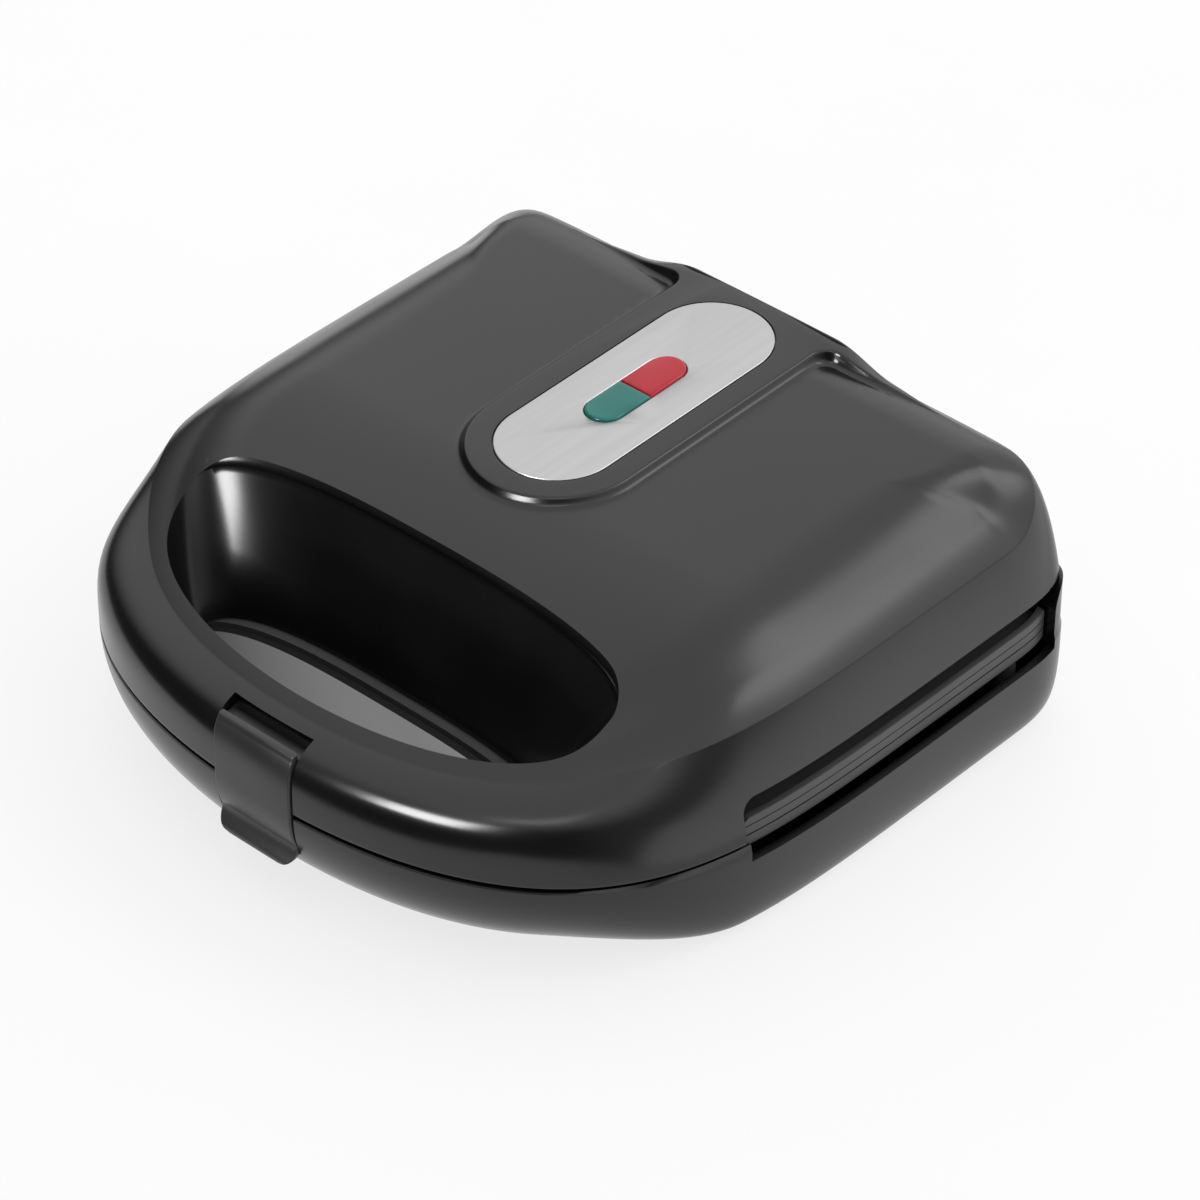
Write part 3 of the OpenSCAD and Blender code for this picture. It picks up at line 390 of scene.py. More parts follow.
def tilted(points):
    # from the trim plate's own plane, z = 0 on its upper face, into place
    p = np.asarray(points, float).copy()
    y, z = p[:, 1] - trim["middleY"], p[:, 2].copy()
    height = float(bandTop(0, trim["middleY"]))
    p[:, 1] = trim["middleY"] + y * math.cos(trimSlope) - z * math.sin(trimSlope)
    p[:, 2] = height + y * math.sin(trimSlope) + z * math.cos(trimSlope)
    return p


def stadiumRing(length, width, inset, z, steps=40):
    r, e = width / 2 - inset, length / 2 - width / 2
    low = arc(0, trim["middleY"] - e, r, -90, 0, steps + 1)
    side = np.column_stack([np.full(9, r), np.linspace(trim["middleY"] - e, trim["middleY"] + e, 11)[1:-1]])
    high = arc(0, trim["middleY"] + e, r, 0, 90, steps + 1)
    half = np.vstack([low, side, high])
    return flipX(atHeight(half, z))


def stadiumSolid(name, length, width, levels):
    # levels are (inset, z) pairs from the bottom up
    return ringLoft(name, [tilted(stadiumRing(length, width, inset, z)) for inset, z in levels])


def bandPath():
    # half of the raised area's edge, from its front round to the rear: position, outward normal, strength
    r = trim["width"] / 2 + trim["bandWidth"]
    e = trim["length"] / 2 - trim["width"] / 2
    frontY, bend = trim["middleY"] - e, trim["bendRadius"]
    lineY = trim["ridgeY"] - trim["ridgeHalf"]
    rows = []
    for a in np.radians(np.linspace(-90, 0, 40)):
        rows.append((r * math.cos(a), frontY + r * math.sin(a), math.cos(a), math.sin(a), 1))
    for y in np.linspace(frontY, lineY - bend, 40)[1:]:
        rows.append((r, y, 1, 0, 1))
    for a in np.radians(np.linspace(180, 90, 20))[1:]:
        c, s = math.cos(a), math.sin(a)
        rows.append((r + bend + bend * c, lineY - bend + bend * s, -c, -s, 1))
    out = np.linspace(r + bend, trim["ridgeEnd"], trim["ridgeSteps"])[1:]
    home = np.concatenate([np.linspace(trim["ridgeEnd"], r + bend, trim["ridgeSteps"]),
                           np.linspace(r + bend, 0, trim["rearSteps"])[1:]])
    for run, side in ((out, -1), (home, 1)):
        for x in run:
            k = float(1 - smooth((x - r - bend) / (trim["ridgeFade"] - r - bend)))
            rows.append((x, trim["ridgeY"] + side * trim["ridgeHalf"] * k, 0, side, k))
    return np.array(rows)


def bandSolid(name):
    path = bandPath()
    rings = []
    reach, rnd = trim["footReach"], trim["topRound"]
    # offsets outwards and the share of the rise left there, from the foot up to the flat top
    levels = [(reach, -0.08), (reach * 0.72, 0.02), (reach * 0.5, 0.09), (reach * 0.32, 0.22),
              (reach * 0.18, 0.42), (reach * 0.08, 0.62), (0, 0.78), (-rnd * 0.25, 0.88), (-rnd * 0.6, 0.96),
              (-rnd, 0.99), (-rnd * 1.5, 1.0)]
    for step, share in levels:
        k = path[:, 4]
        reachHere = step * np.where(step > 0, 0.35 + 0.65 * k, k)
        x = np.maximum(path[:, 0] + path[:, 2] * reachHere, 0)
        x[0] = x[-1] = 0
        y = path[:, 1] + path[:, 3] * reachHere
        under = underBand(x, y)
        flat = 1 - smooth((np.abs(path[:, 0]) - 27) / 22)
        top = lerp(under, panelHeight(x, np.minimum(y, 103)), flat) + trim["bandRise"] * k
        z = under + share * np.maximum(top - under, 0.05) - 0.12 * (1 - k) * (step <= 0)
        rings.append(np.column_stack([x, y, z]))
    foot = rings[0].copy()
    foot[:, 2] -= 2.2
    rings = [flipX(ring) for ring in [foot] + rings]
    # both ends are closed with strips along the ridges and one face between them
    around, last, n = len(rings[0]), len(path) - 1, trim["ridgeSteps"]
    corner = last - trim["rearSteps"] - 2 * n + 2
    front, rear = [corner + j for j in range(n)], [corner + 2 * n - 1 - j for j in range(n)]
    strips = [[front[j], front[j + 1], rear[j + 1], rear[j]] for j in range(n - 1)]
    strips += [[around - i for i in strip[::-1]] for strip in strips]
    middle = list(range(corner + 1)) + list(range(rear[0], last + 1))
    middle += [around - i for i in middle[-2:0:-1]]
    faces = ringFaces(len(rings), around, False)
    for first in (0, (len(rings) - 1) * around):
        faces += [[first + i % around for i in face] for face in strips + [middle]]
    band = meshPiece(name, np.vstack(rings), faces)
    recalculate(band)
    return band


# lid

lidCuts = {"ventFront": -36.0, "ventRear": 97.0, "ventTop": 48.4, "ventCorner": 5.0, "ventX": 107.0,
           "hingeY": 105.5, "hingeZ": 40.0, "earRadius": 8.0, "earX": 74.6, "barrelRadius": 6.2,
           "pinHole": 3.25, "latchHalf": 15.6, "latchRoom": 6.9}


def ventSolid(name, side, y0, y1, z0, z1, corner):
    # a long opening through the side, rounded at its upper front corner
    outline = [(y0, z0)] + arc(y0 + corner, z1 - corner, corner, 180, 90, 12).tolist() + [(y1, z1), (y1, z0)]
    return alongX(name, outline, *sideSpan(side, lidCuts["ventX"], 140))


def makeLid():
    c = lidCuts
    lid = ringLoft("lidCover", lidRings(0, lidZ, True))
    wholeLid = duplicate(lid)
    carve(lid, [ringLoft("inside", lidRings(body["wall"], lidZ - 2, False))])
    gripWall = carve(wholeLid, [lidGripSolid("gripWall", body["wall"], lidZ - 1)], "INTERSECT")
    carve(lid, [gripWall], "UNION")
    carve(lid, [bandSolid("band")], "UNION")
    tools = [lidGripSolid("gripCut", 0, lidZ - 5)]
    tools.append(stadiumSolid("trimWell", trim["length"] + 0.8, trim["width"] + 0.8,
                              [(0, -1.26), (0, -0.2), (-0.25, 0.06), (-0.6, 1.5), (-0.6, 8)]))
    tools.append(stadiumSolid("lensWell", lens["holeLength"], lens["holeWidth"], [(0, -12), (0, 4)]))
    for side in (-1, 1):
        tools.append(ventSolid("vent", side, c["ventFront"], c["ventRear"] + 0.5, 10,
                               c["ventTop"], c["ventCorner"]))
        x0, x1 = sideSpan(side, c["earX"] - 0.6, 150)
        tools.append(boxSolid("earRoom", (x0, c["ventRear"] - 1, 0),
                              (x1, 130, c["hingeZ"] + c["earRadius"] + 0.6)))
    tools.append(boxSolid("barrelRoom", (-c["earX"], 96, 0), (c["earX"], 116, c["hingeZ"] + 4)))
    tools.append(rodX("barrelCut", c["barrelRadius"] + 0.3, c["hingeY"], c["hingeZ"], -c["earX"], c["earX"]))
    # room for the latch's head, which turns about its pin
    r, py, pz = c["latchRoom"], latch["pivotY"], latch["pivotZ"]
    edge = arc(py, pz, r, 90, 134, 12).tolist()
    tools.append(alongX("latchRoom", [(-130, 0), (-101, 0), (-101, edge[0][1])] + edge + [(-130, edge[-1][1])],
                        -c["latchHalf"], c["latchHalf"]))
    carve(lid, tools)
    return finishSurface(lid)


# base

baseParts = {"ventLow": 27.5, "postRadius": 5.2, "headRadius": 3.4, "holeRadius": 1.7, "footSeat": 7.0,
             "bosses": [(-98, -46), (98, -46), (-111, 84), (111, 84)],
             "feet": [(-100, -35), (100, -35), (-96, 88), (96, 88)], "glandX": 40.0, "glandZ": 21.0,
             "glandRadius": 5.0, "hookZ": 26.6}


def baseRings(w):
    f = frontness
    inset = 3 + 9.5 * f
    under = body["under"] + 3.5 * f
    am = np.radians(80 - 18 * f)
    rings = []
    r = halfPoint(stations, inset + w)
    for s in list(np.linspace(0.02, 0.5, 8)) + list(np.linspace(0.5, 1, 26))[1:-1]:
        xy = np.stack([r[0] * s, middleY + (r[1] - middleY) * s])
        rings.append(closeRing(xy, w + lerp(body["under"], under, smooth((s - 0.5) / 0.5))))
    top = baseZ + (1 if w > 0 else 0)
    for t in list(np.linspace(1, 0.06, 34)) + [0.045, 0.03, 0.02, 0.012, 0.006, 0]:
        a = am * t
        h = (np.sin(a) / np.sin(am)) ** (2 / (4 - 1.8 * f))
        z = lerp(top, under + w, h)
        pull = edgeInset(baseZ - z) if w == 0 else 0
        rings.append(closeRing(halfPoint(stations, inset * (1 - np.cos(a)) / (1 - np.cos(am)) + w + pull), z))
    return rings


def frontLine(count):
    # the body's front middle line from under the latch's top to its lip, as (y, z)
    q = -body["frontY"] + 14.0
    shoulder = float(softMin(np.array(panelHeight(0, q)), np.array(61.0), 6))
    points = []
    for angle, inset, power, z0, z1, shares in ((70, 14, 0.4, lidZ, shoulder, np.linspace(0.4, 0.02, count)),
                                                (62, 15, 2 / 2.2, baseZ, 8.0, np.linspace(0, 0.36, count))):
        full = math.radians(angle)
        for a in full * shares:
            h = (math.sin(a) / math.sin(full)) ** power
            points.append((inset * (1 - math.cos(a)) / (1 - math.cos(full)) - body["frontY"], lerp(z0, z1, h)))
    return np.array(points)


def latchChannel(name):
    # the room for the latch's strap, hook and lip, from the side
    front, deep, top, back = -115.0, -107.9, 44.0, 3.0
    (y2, z2), (y1, z1) = (frontLine(5) - [0.4, 0])[-2:]
    outline = [(front, top), (front, z1 - 3.6), (y1 + 1.2, z1 - 3), (y1 + back + 0.4, z1 - 1.6),
               (y1 + back, z1), (y2 + back, z2), (deep, baseParts["hookZ"] - 1.5), (deep, top)]
    return alongX(name, outline, -lidCuts["latchHalf"], lidCuts["latchHalf"])


def earSolid(name, side, radius, x0, inset, z0, z1):
    c = lidCuts
    outline = arc(c["hingeY"], c["hingeZ"], radius, 0, 180, 40).tolist()
    outline += [(c["hingeY"] - radius, z0), (c["hingeY"] + radius, z0)]
    ear = alongX(name, outline, *sideSpan(side, x0, body["halfWidth"]))
    return carve(ear, [prism("slab", outlineRing(inset), z0 + 0.001, z1)], "INTERSECT")


def makeBase():
    c, b = lidCuts, baseParts
    base = ringLoft("baseTub", baseRings(0))
    whole = duplicate(base)
    carve(base, [ringLoft("inside", baseRings(body["wall"]))])
    inner = [baseGripSolid("wallRing", body["wall"], -1, baseZ + 1)]
    inner += [post("boss", x, y, b["postRadius"], body["under"], body["under"] + 7) for x, y in b["bosses"]]
    inner += [post("seat", x, y, b["footSeat"], body["under"], body["under"] + body["wall"] + 0.6)
              for x, y in b["feet"]]
    inner.append(boxSolid("hookBlock", (-18, -113, body["under"]), (18, -105.5, b["hookZ"] - 2.2)))
    for tool in inner:
        carve(base, [carve(duplicate(whole), [tool], "INTERSECT")], "UNION")
    removePiece(whole)
    for side in (-1, 1):
        ear = earSolid("ear", side, c["earRadius"], c["earX"], 0.4, baseZ - 6, 60)
        hollow = earSolid("earHollow", side, c["earRadius"] - 1.8, c["earX"] + 1.8, body["wall"] + 0.2,
                          baseZ - 7, 59)
        carve(ear, [hollow])
        hole = sideSpan(side, c["earX"] - 1, c["earX"] + 3)
        carve(ear, [rodX("pinHole", c["pinHole"], c["hingeY"], c["hingeZ"], *hole)])
        carve(base, [ear], "UNION")
    tools = [baseGripSolid("gripCut", 0, -2, baseZ + 2)]
    for side in (-1, 1):
        x0, x1 = sideSpan(side, c["ventX"], 127)
        tools.append(boxSolid("vent", (x0, c["ventFront"] + 2, b["ventLow"]), (x1, 97.5, 47.5)))
    tools.append(boxSolid("rearRoom", (-c["earX"], 102, 31.5), (c["earX"], 122, 51.5)))
    tools.append(latchChannel("channel"))
    for x, y in b["bosses"]:
        tools.append(post("headRoom", x, y, b["headRadius"], -1, body["under"] + 5))
        tools.append(post("shankRoom", x, y, b["holeRadius"], 2, 20))
    gland = circle(b["glandX"], b["glandZ"], b["glandRadius"], 40)
    ring = [np.insert(gland, 1, y, axis=1) for y in (120, 100)]
    tools.append(meshPiece("glandHole", np.vstack(ring), ringFaces(2, 40)))
    recalculate(tools[-1])
    carve(base, tools)
    return finishSurface(base)


# the black liners that frame the plates, with the rails seen in the side openings

liner = {"inset": 3.5, "flange": 2.7, "wall": 2.0, "plateGap": 0.5, "railUp": 6.0, "railDown": 4.0,
         "plateHalf": (104.0, 60.0), "plateY": 34.5, "plateCorner": 10.0}
linerRear = lidCuts["hingeY"] - lidCuts["earRadius"] - 0.8  # just clear of the hinge ears


def plateRect(grow, radius=None):
    lx, ly = liner["plateHalf"][0] + grow, liner["plateHalf"][1] + grow
    return roundedRect(-lx, lx, liner["plateY"] - ly, liner["plateY"] + ly, radius or liner["plateCorner"])


def clippedOutline(d, rear):
    ring = outlineRing(d)
    ring[:, 1] = np.minimum(ring[:, 1], rear)
    keep = [p for k, p in enumerate(ring) if k == 0 or np.hypot(*(p - ring[k - 1])) > 1e-6]
    return np.array(keep)


def handSlab(name, grow, z0, z1, rear):
    return prism(name, gripRing(0, grip["handHalfWidth"], rear, grip["handFront"], grow)[:, :2], z0, z1)


def railBlank(name, z0, z1):
    # the rail's section, softened along its outer edges
    r = 0.5
    middle = (z0 + z1) / 2
    levels = [(r, z0), (r * 0.3, z0 + r * 0.3), (0, z0 + r), (0, middle - 0.25), (0.35, middle - 0.1),
              (0.35, middle + 0.1), (0, middle + 0.25), (0, z1 - r), (r * 0.3, z1 - r * 0.3), (r, z1)]
    rings = []
    for inset, z in levels:
        ring = outlineRing(liner["inset"] + inset)
        ring[:, 1] = np.minimum(ring[:, 1], linerRear)
        rings.append(atHeight(ring, z))
    rail = ringLoft(name, rings)
    inner = clippedOutline(liner["inset"] + 2, linerRear + 20)
    return carve(rail, [prism("railInside", inner, z0 - 1, z1 + 1)])


def makeLiner(name, isLid):
    part, half = body["partHeight"], lidCuts["latchHalf"]
    if isLid:
        z0, z1, frameEnd = part + 0.3, part + 0.3 + liner["flange"], part + 15
        railLow, railHigh, frameLow = z0, part + liner["railUp"], z0
    else:
        z0, z1 = part - 0.3 - liner["flange"], part - 0.3
        railLow, railHigh, frameLow, frameEnd = part - liner["railDown"], z1, part - 14, z1
    piece = prism(name, clippedOutline(liner["inset"], linerRear), z0, z1)
    rail = railBlank("rail", railLow, railHigh)
    startY = lidCuts["ventFront"] + (0 if isLid else 3)
    if isLid:
        # the rail's front end is rounded like the opening it sits in
        r = 4.0
        front, top = startY + 1.4, railHigh + 0.01
        keep = [(front, 20)] + arc(front + r, top - r, r, 180, 90, 10).tolist() + [(130, top), (130, 20)]
        carve(rail, [alongX("railKeep", keep, -130, 130)], "INTERSECT")
    else:
        carve(rail, [boxSolid("railFront", (-130, -120, 0), (130, startY, 60))])
    carve(piece, [rail], "UNION")
    carve(piece, [prism("frame", plateRect(liner["plateGap"] + liner["wall"]), frameLow, frameEnd)], "UNION")
    if not isLid:
        for x, y in baseParts["bosses"]:
            carve(piece, [post("boss", x, y, 4, body["under"] + 7.2, z1 - 1)], "UNION")
    tools = [prism("plateHole", plateRect(liner["plateGap"]), 0, part + 30)]
    if isLid:
        tools.append(handSlab("hand", body["wall"] + 3, z0 - 1, z0 + 5, grip["handRear"]))
        tools.append(boxSolid("latchRoom", (-half, -113, z0 - 1), (half, -108.9, z0 + 5)))
        for x, y in baseParts["bosses"][:2]:
            tools.append(post("hole", x, y, 1.6, z0 - 1, z0 + 8))
            tools.append(post("seat", x, y, 3.2, z0 - 1, z0 + 1.85))
    else:
        tools.append(handSlab("hand", body["wall"] + 1.6, z1 - 6, z1 + 1, grip["handRear"] - grip["step"]))
        tools.append(boxSolid("latchRoom", (-half, -113, 0), (half, -108.9, part + 5)))
        for x, y in baseParts["bosses"]:
            tools.append(post("hole", x, y, 1.45, body["under"] + 6, body["under"] + 18))
    carve(piece, tools)
    return finishSurface(piece)


# cooking plates: a field of heights with rounded sandwich recesses

grill = {"length": 208.0, "width": 120.0, "corner": 10.0, "rim": 3.4, "deep": 10.0, "ridge": 7.0,
         "halfGap": 0.15, "edge": 1.2, "height": 15.0, "bodyInset": 4.0}


def triangleDepth(x, y, corners, radius):
    # distance inside a triangle whose corners are rounded, positive inwards
    pts = np.array(corners, float)
    d = np.full(x.shape, 1e9)
    for k in range(3):
        p, q = pts[k], pts[(k + 1) % 3]
        n = np.array([-(q - p)[1], (q - p)[0]])
        n /= np.hypot(*n)
        e = (x - p[0]) * n[0] + (y - p[1]) * n[1]
        d = -np.logaddexp(-d / (radius * 0.35), -e / (radius * 0.35)) * radius * 0.35
    return d


def plateField(x, y):
    # how deep the plate's face lies at each point, for the right half and its mirror
    ax, py = np.abs(x), y
    r = grill["ridge"]
    x0, x1, y1, g = r / 2, grill["length"] / 2 - r, grill["width"] / 2 - r, r * 0.7
    first = triangleDepth(ax, py, [(x0, -y1 + g), (x1 - g, y1), (x0, y1)], 9)
    second = triangleDepth(ax, py, [(x0 + g, -y1), (x1, -y1), (x1, y1 - g)], 9)
    d = np.maximum(first, second)
    wall = smooth((d - 0.2) / 15) ** 0.8
    return grill["deep"] * wall * (0.86 + 0.14 * smooth((d - 8) / 16))


def makePlate(name, up):
    g = grill
    nx, ny = 201, 117
    u, v = np.meshgrid(np.linspace(-1, 1, nx), np.linspace(-1, 1, ny))
    hx, hy, c = g["length"] / 2 - g["edge"], g["width"] / 2 - g["edge"], g["corner"] - g["edge"]
    # the grid's outer lines are pulled round the plate's corners
    x, y = u * hx, v * hy
    over = np.maximum(np.abs(y) - (hy - c), 0)
    reach = hx - c + np.sqrt(np.maximum(c * c - over * over, 0))
    x = u * reach
    z = plateField(x, y)
    top = np.stack([x, y, z], -1)
    border = np.concatenate([top[0, :-1], top[:-1, -1], top[-1, :0:-1], top[:0:-1, 0]])
    verts = [top.reshape(-1, 3)]
    faces = []
    for r in range(ny - 1):
        i = r * nx + np.arange(nx - 1)
        faces += np.stack([i, i + nx, i + nx + 1, i + 1], 1).tolist()
    ids = np.arange(nx * ny).reshape(ny, nx)
    edge = np.concatenate([ids[0, :-1], ids[:-1, -1], ids[-1, :0:-1], ids[:0:-1, 0]])
    centre = np.clip(border[:, :2], [c - hx, c - hy], [hx - c, hy - c])
    out = border[:, :2] - centre
    length = np.maximum(np.hypot(out[:, 0], out[:, 1]), 1e-6)
    out = out / length[:, None]
    rows = [edge]
    start = nx * ny
    inset = g["bodyInset"]
    profile = [(g["edge"] * math.sin(a), g["edge"] * (1 - math.cos(a))) for a in np.radians([22, 45, 68, 90])]
    profile += [(g["edge"], g["rim"] - 0.4), (g["edge"] - 0.4, g["rim"]),
                (g["edge"] - inset, g["rim"]), (g["edge"] - inset, g["height"])]
    for grow, depth in profile:
        verts.append(np.column_stack([border[:, :2] + out * grow, np.full(len(border), depth)]))
        rows.append(start + np.arange(len(border)))
        start += len(border)
    for a, b in zip(rows[:-1], rows[1:]):
        an, bn = np.roll(a, -1), np.roll(b, -1)
        faces += np.stack([a, an, bn, b], 1).tolist()
    faces.append(rows[-1].tolist())
    pts = np.vstack(verts)
    pts[:, 1] += liner["plateY"]
    if up:
        pts[:, 2] = body["partHeight"] + g["halfGap"] + pts[:, 2]
    else:
        pts[:, 2] = body["partHeight"] - g["halfGap"] - pts[:, 2]
    piece = meshPiece(name, pts, faces)
    recalculate(piece)
    return finishSurface(piece, 40)


# latch

latch = {"width": 30.0, "thick": 2.6, "top": 54.2, "lipReach": 3.0, "lipDrop": 7.0, "lipCorner": 5.0,
         "edge": 0.7, "pivotY": -104.6, "pivotZ": 49.3, "pivotRadius": 2.8}


def makeLatch():
    g = latch
    side = g["width"] / 2
    line = frontLine(14) - [0.4, 0]
    last = line[-1]
    head = np.array([[line[0][0] + 1.2, g["top"]], [line[0][0] + 0.2, g["top"] - 0.5]])
    outer = np.vstack([head, line[1:], last + [-0.2, -1.6], last + [-1.1, -3.6], last + [-2.3, -5.6],
                       last + [0.3 - g["lipReach"], -g["lipDrop"] + 0.1]])
    t = g["thick"]
    inner = np.vstack([head + [t - 0.9, -0.2], line[1:] + [t, 0], last + [2.0, -1.6], last + [1.2, -3.7],
                       last + [-0.3, -5.6], last + [1.0 - g["lipReach"], -g["lipDrop"] + 0.05]])
    outer, inner = throughPoints(outer, 3), throughPoints(inner, 3)
    tip = float(outer[-1][1])
    rings = []
    count = len(outer)
    for k in range(count):
        o, i = outer[k], inner[k]
        low = max(0.0, g["lipCorner"] - (float(o[1]) - tip))
        half = side - g["lipCorner"] + math.sqrt(max(g["lipCorner"] ** 2 - low * low, 0))
        end = min(k, count - 1 - k)
        close = [0.45, 0.15, 0.03][end] if end < 3 else 0
        o, i = lerp(o, i, close), lerp(i, o, close)
        half -= close * 0.8
        deep = float(np.hypot(*(i - o)))
        e = min(g["edge"], deep * 0.45)
        ring = []
        for sx, sd, start in ((1, 0, -90), (1, 1, 0), (-1, 1, 90), (-1, 0, 180)):
            for a in np.radians(np.linspace(start, start + 90, 6)):
                x = sx * (half - e) + e * math.cos(a)
                depth = (e if sd == 0 else deep - e) + e * math.sin(a)
                yz = o + (i - o) * (depth / deep)
                ring.append((x, yz[0], yz[1]))
        rings.append(ring)
    strap = meshPiece("latchStrap", np.array(rings).reshape(-1, 3), ringFaces(count, 24))
    recalculate(strap)
    extra = [rodX("pivot", g["pivotRadius"], g["pivotY"], g["pivotZ"], -side, side),
             boxSolid("web", (-side, -109.4, g["pivotZ"] - 2.8), (side, g["pivotY"], g["pivotZ"] + 2.8)),
             alongX("hook", [(-110.2, 26.6), (-106.6, 26.6), (-106.6, 27.6), (-107.6, 28.6), (-110.2, 28.6)],
                    -11, 11)]
    carve(strap, extra, "UNION")
    carve(strap, [rodX("pinBore", 1.25, g["pivotY"], g["pivotZ"], -20, 20, 32)])
    return finishSurface(strap, 34)


# trim plate and lenses

lens = {"length": 38.4, "width": 12.2, "drop": 6.6, "crown": 42.0, "rise": 0.8, "edge": 0.9, "gap": 0.05,
        "holeLength": 38.7, "holeWidth": 12.5}


def makeTrimPlate():
    t = trim["thick"]
    r = 0.45
    levels = [(0, -t), (0, -r)]
    levels += [(r * (1 - math.cos(a)), -r * (1 - math.sin(a))) for a in np.radians([20, 45, 70, 90])]
    plate = stadiumSolid("trimBadge", trim["length"], trim["width"], levels)
    carve(plate, [stadiumSolid("lensHole", lens["holeLength"], lens["holeWidth"],
                               [(0, -4), (0, -0.5), (-0.12, -0.22), (-0.5, 0.0), (-2.2, 0.6)])])
    return finishSurface(plate, 50)


def makeLens(name, side):
    # half of a long pill, arched across and softened at its upper edge
    g = lens
    r, e = g["width"] / 2, g["length"] / 2 - g["width"] / 2
    outline = np.array([(r, g["gap"])] + arc(0, e, r, 0, 180, 48).tolist() + [(-r, g["gap"])])
    if side < 0:
        outline = outline[::-1] * [1, -1]
    after, before = np.roll(outline, -1, 0) - outline, outline - np.roll(outline, 1, 0)
    na, nb = [np.column_stack([v[:, 1], -v[:, 0]]) / np.maximum(np.hypot(v[:, 0], v[:, 1]), 1e-9)[:, None]
              for v in (after, before)]
    normal = na + nb
    normal /= np.maximum((normal * na).sum(1), 0.3)[:, None]

    def level(inset, z):
        p = outline - normal * inset
        arch = g["rise"] - (g["crown"] - np.sqrt(g["crown"] ** 2 - p[:, 0] ** 2)) if z is None else z
        return np.column_stack([p, np.broadcast_to(arch, len(p))])

    rings = [level(0, -g["drop"]), level(0, -0.9)]
    for t in np.radians([15, 30, 45, 60, 75, 90]):
        inset = g["edge"] * (1 - math.cos(t))
        ring = level(inset, None)
        ring[:, 2] -= g["edge"] * (1 - math.sin(t))
        rings.append(ring)
    for inset in (1.6, 2.6, 3.8, 5.0):
        rings.append(level(inset, None))
    rings = [tilted(np.column_stack([r3[:, 0], r3[:, 1] + trim["middleY"], r3[:, 2]])) for r3 in rings]
    piece = ringLoft(name, rings)
    recalculate(piece)
    return finishSurface(piece, 40)


# geometry nodes for what repeats

def setInputs(node, values):
    for label, value in values.items():
        node.inputs[label].default_value = value


def addNode(tree, kind, links=None, values=None, **settings):
    # a node with its settings made, then its inputs linked or given values
    node = tree.nodes.new(kind)
    for label, value in settings.items():
        setattr(node, label, value)
    for label, source in (links or {}).items():
        tree.links.new(source, node.inputs[label])
    setInputs(node, values or {})
    return node


def newTree(name, inputs):
    tree = bpy.data.node_groups.new(name, "GeometryNodeTree")
    tree.interface.new_socket("Geometry", in_out="INPUT", socket_type="NodeSocketGeometry")
    for label, kind, value in inputs:
        socket = tree.interface.new_socket(label, in_out="INPUT", socket_type=kind)
        if value is not None:
            socket.default_value = value
    tree.interface.new_socket("Geometry", in_out="OUTPUT", socket_type="NodeSocketGeometry")
    return tree, tree.nodes.new("NodeGroupInput"), tree.nodes.new("NodeGroupOutput")


def spreadOnPoints(tree, groupIn, groupOut, shape):
    # one shape on each point of the piece, made real and given its finish
    spread = addNode(tree, "GeometryNodeInstanceOnPoints",
                     {"Points": groupIn.outputs["Geometry"], "Instance": shape})
    real = addNode(tree, "GeometryNodeRealizeInstances", {"Geometry": spread.outputs[0]})
    paint = addNode(tree, "GeometryNodeSetMaterial",
                    {"Geometry": real.outputs[0], "Material": groupIn.outputs["Finish"]})
    tree.links.new(paint.outputs[0], groupOut.inputs[0])
    return tree


def runTree(piece, tree, values):
    step = piece.modifiers.new("shape", "NODES")
    step.node_group = tree
    for item in tree.interface.items_tree:
        if item.in_out == "INPUT" and item.name in values:
            step[item.identifier] = values[item.name]
    graph = bpy.context.evaluated_depsgraph_get()
    mesh = bpy.data.meshes.new_from_object(piece.evaluated_get(graph))
    name = piece.name
    removePiece(piece)
    made = bpy.data.objects.new(name, mesh)
    mesh.name = name
    scene.collection.objects.link(made)
    return made


def stackTree(name, layers):
    # stacked cones on every point, upwards: each layer is (label, low radius, high radius, height)
    inputs = [("Sides", "NodeSocketInt", 40), ("Finish", "NodeSocketMaterial", None)]
    for label, low, high, height in layers:
        inputs += [(label + part, "NodeSocketFloat", value * mm)
                   for part, value in ((" low radius", low), (" high radius", high), (" height", height))]
    tree, groupIn, groupOut = newTree(name, inputs)
    join = addNode(tree, "GeometryNodeJoinGeometry")
    level = addNode(tree, "ShaderNodeValue").outputs[0]
    level.default_value = 0
    sizes = groupIn.outputs
    for label, low, high, height in layers:
        cone = addNode(tree, "GeometryNodeMeshCone", {
            "Vertices": sizes["Sides"], "Radius Bottom": sizes[label + " low radius"],
            "Radius Top": sizes[label + " high radius"], "Depth": sizes[label + " height"]})
        place = addNode(tree, "ShaderNodeCombineXYZ", {"Z": level})
        shift = addNode(tree, "GeometryNodeTransform",
                        {"Geometry": cone.outputs["Mesh"], "Translation": place.outputs[0]})
        tree.links.new(shift.outputs[0], join.inputs[0])
        level = addNode(tree, "ShaderNodeMath", {0: level, 1: sizes[label + " height"]}).outputs[0]
    return tree, groupIn, groupOut, join


def footTree():
    tree, groupIn, groupOut, join = stackTree("footRows", [
        ("Chamfer", 4.9, 5.6, 0.4), ("Shoulder", 5.6, 6.0, 0.7), ("Body", 6.0, 6.0, 1.9)])
    weld = addNode(tree, "GeometryNodeMergeByDistance", {"Geometry": join.outputs[0]}, {"Distance": 0.00001})
    return spreadOnPoints(tree, groupIn, groupOut, weld.outputs[0])


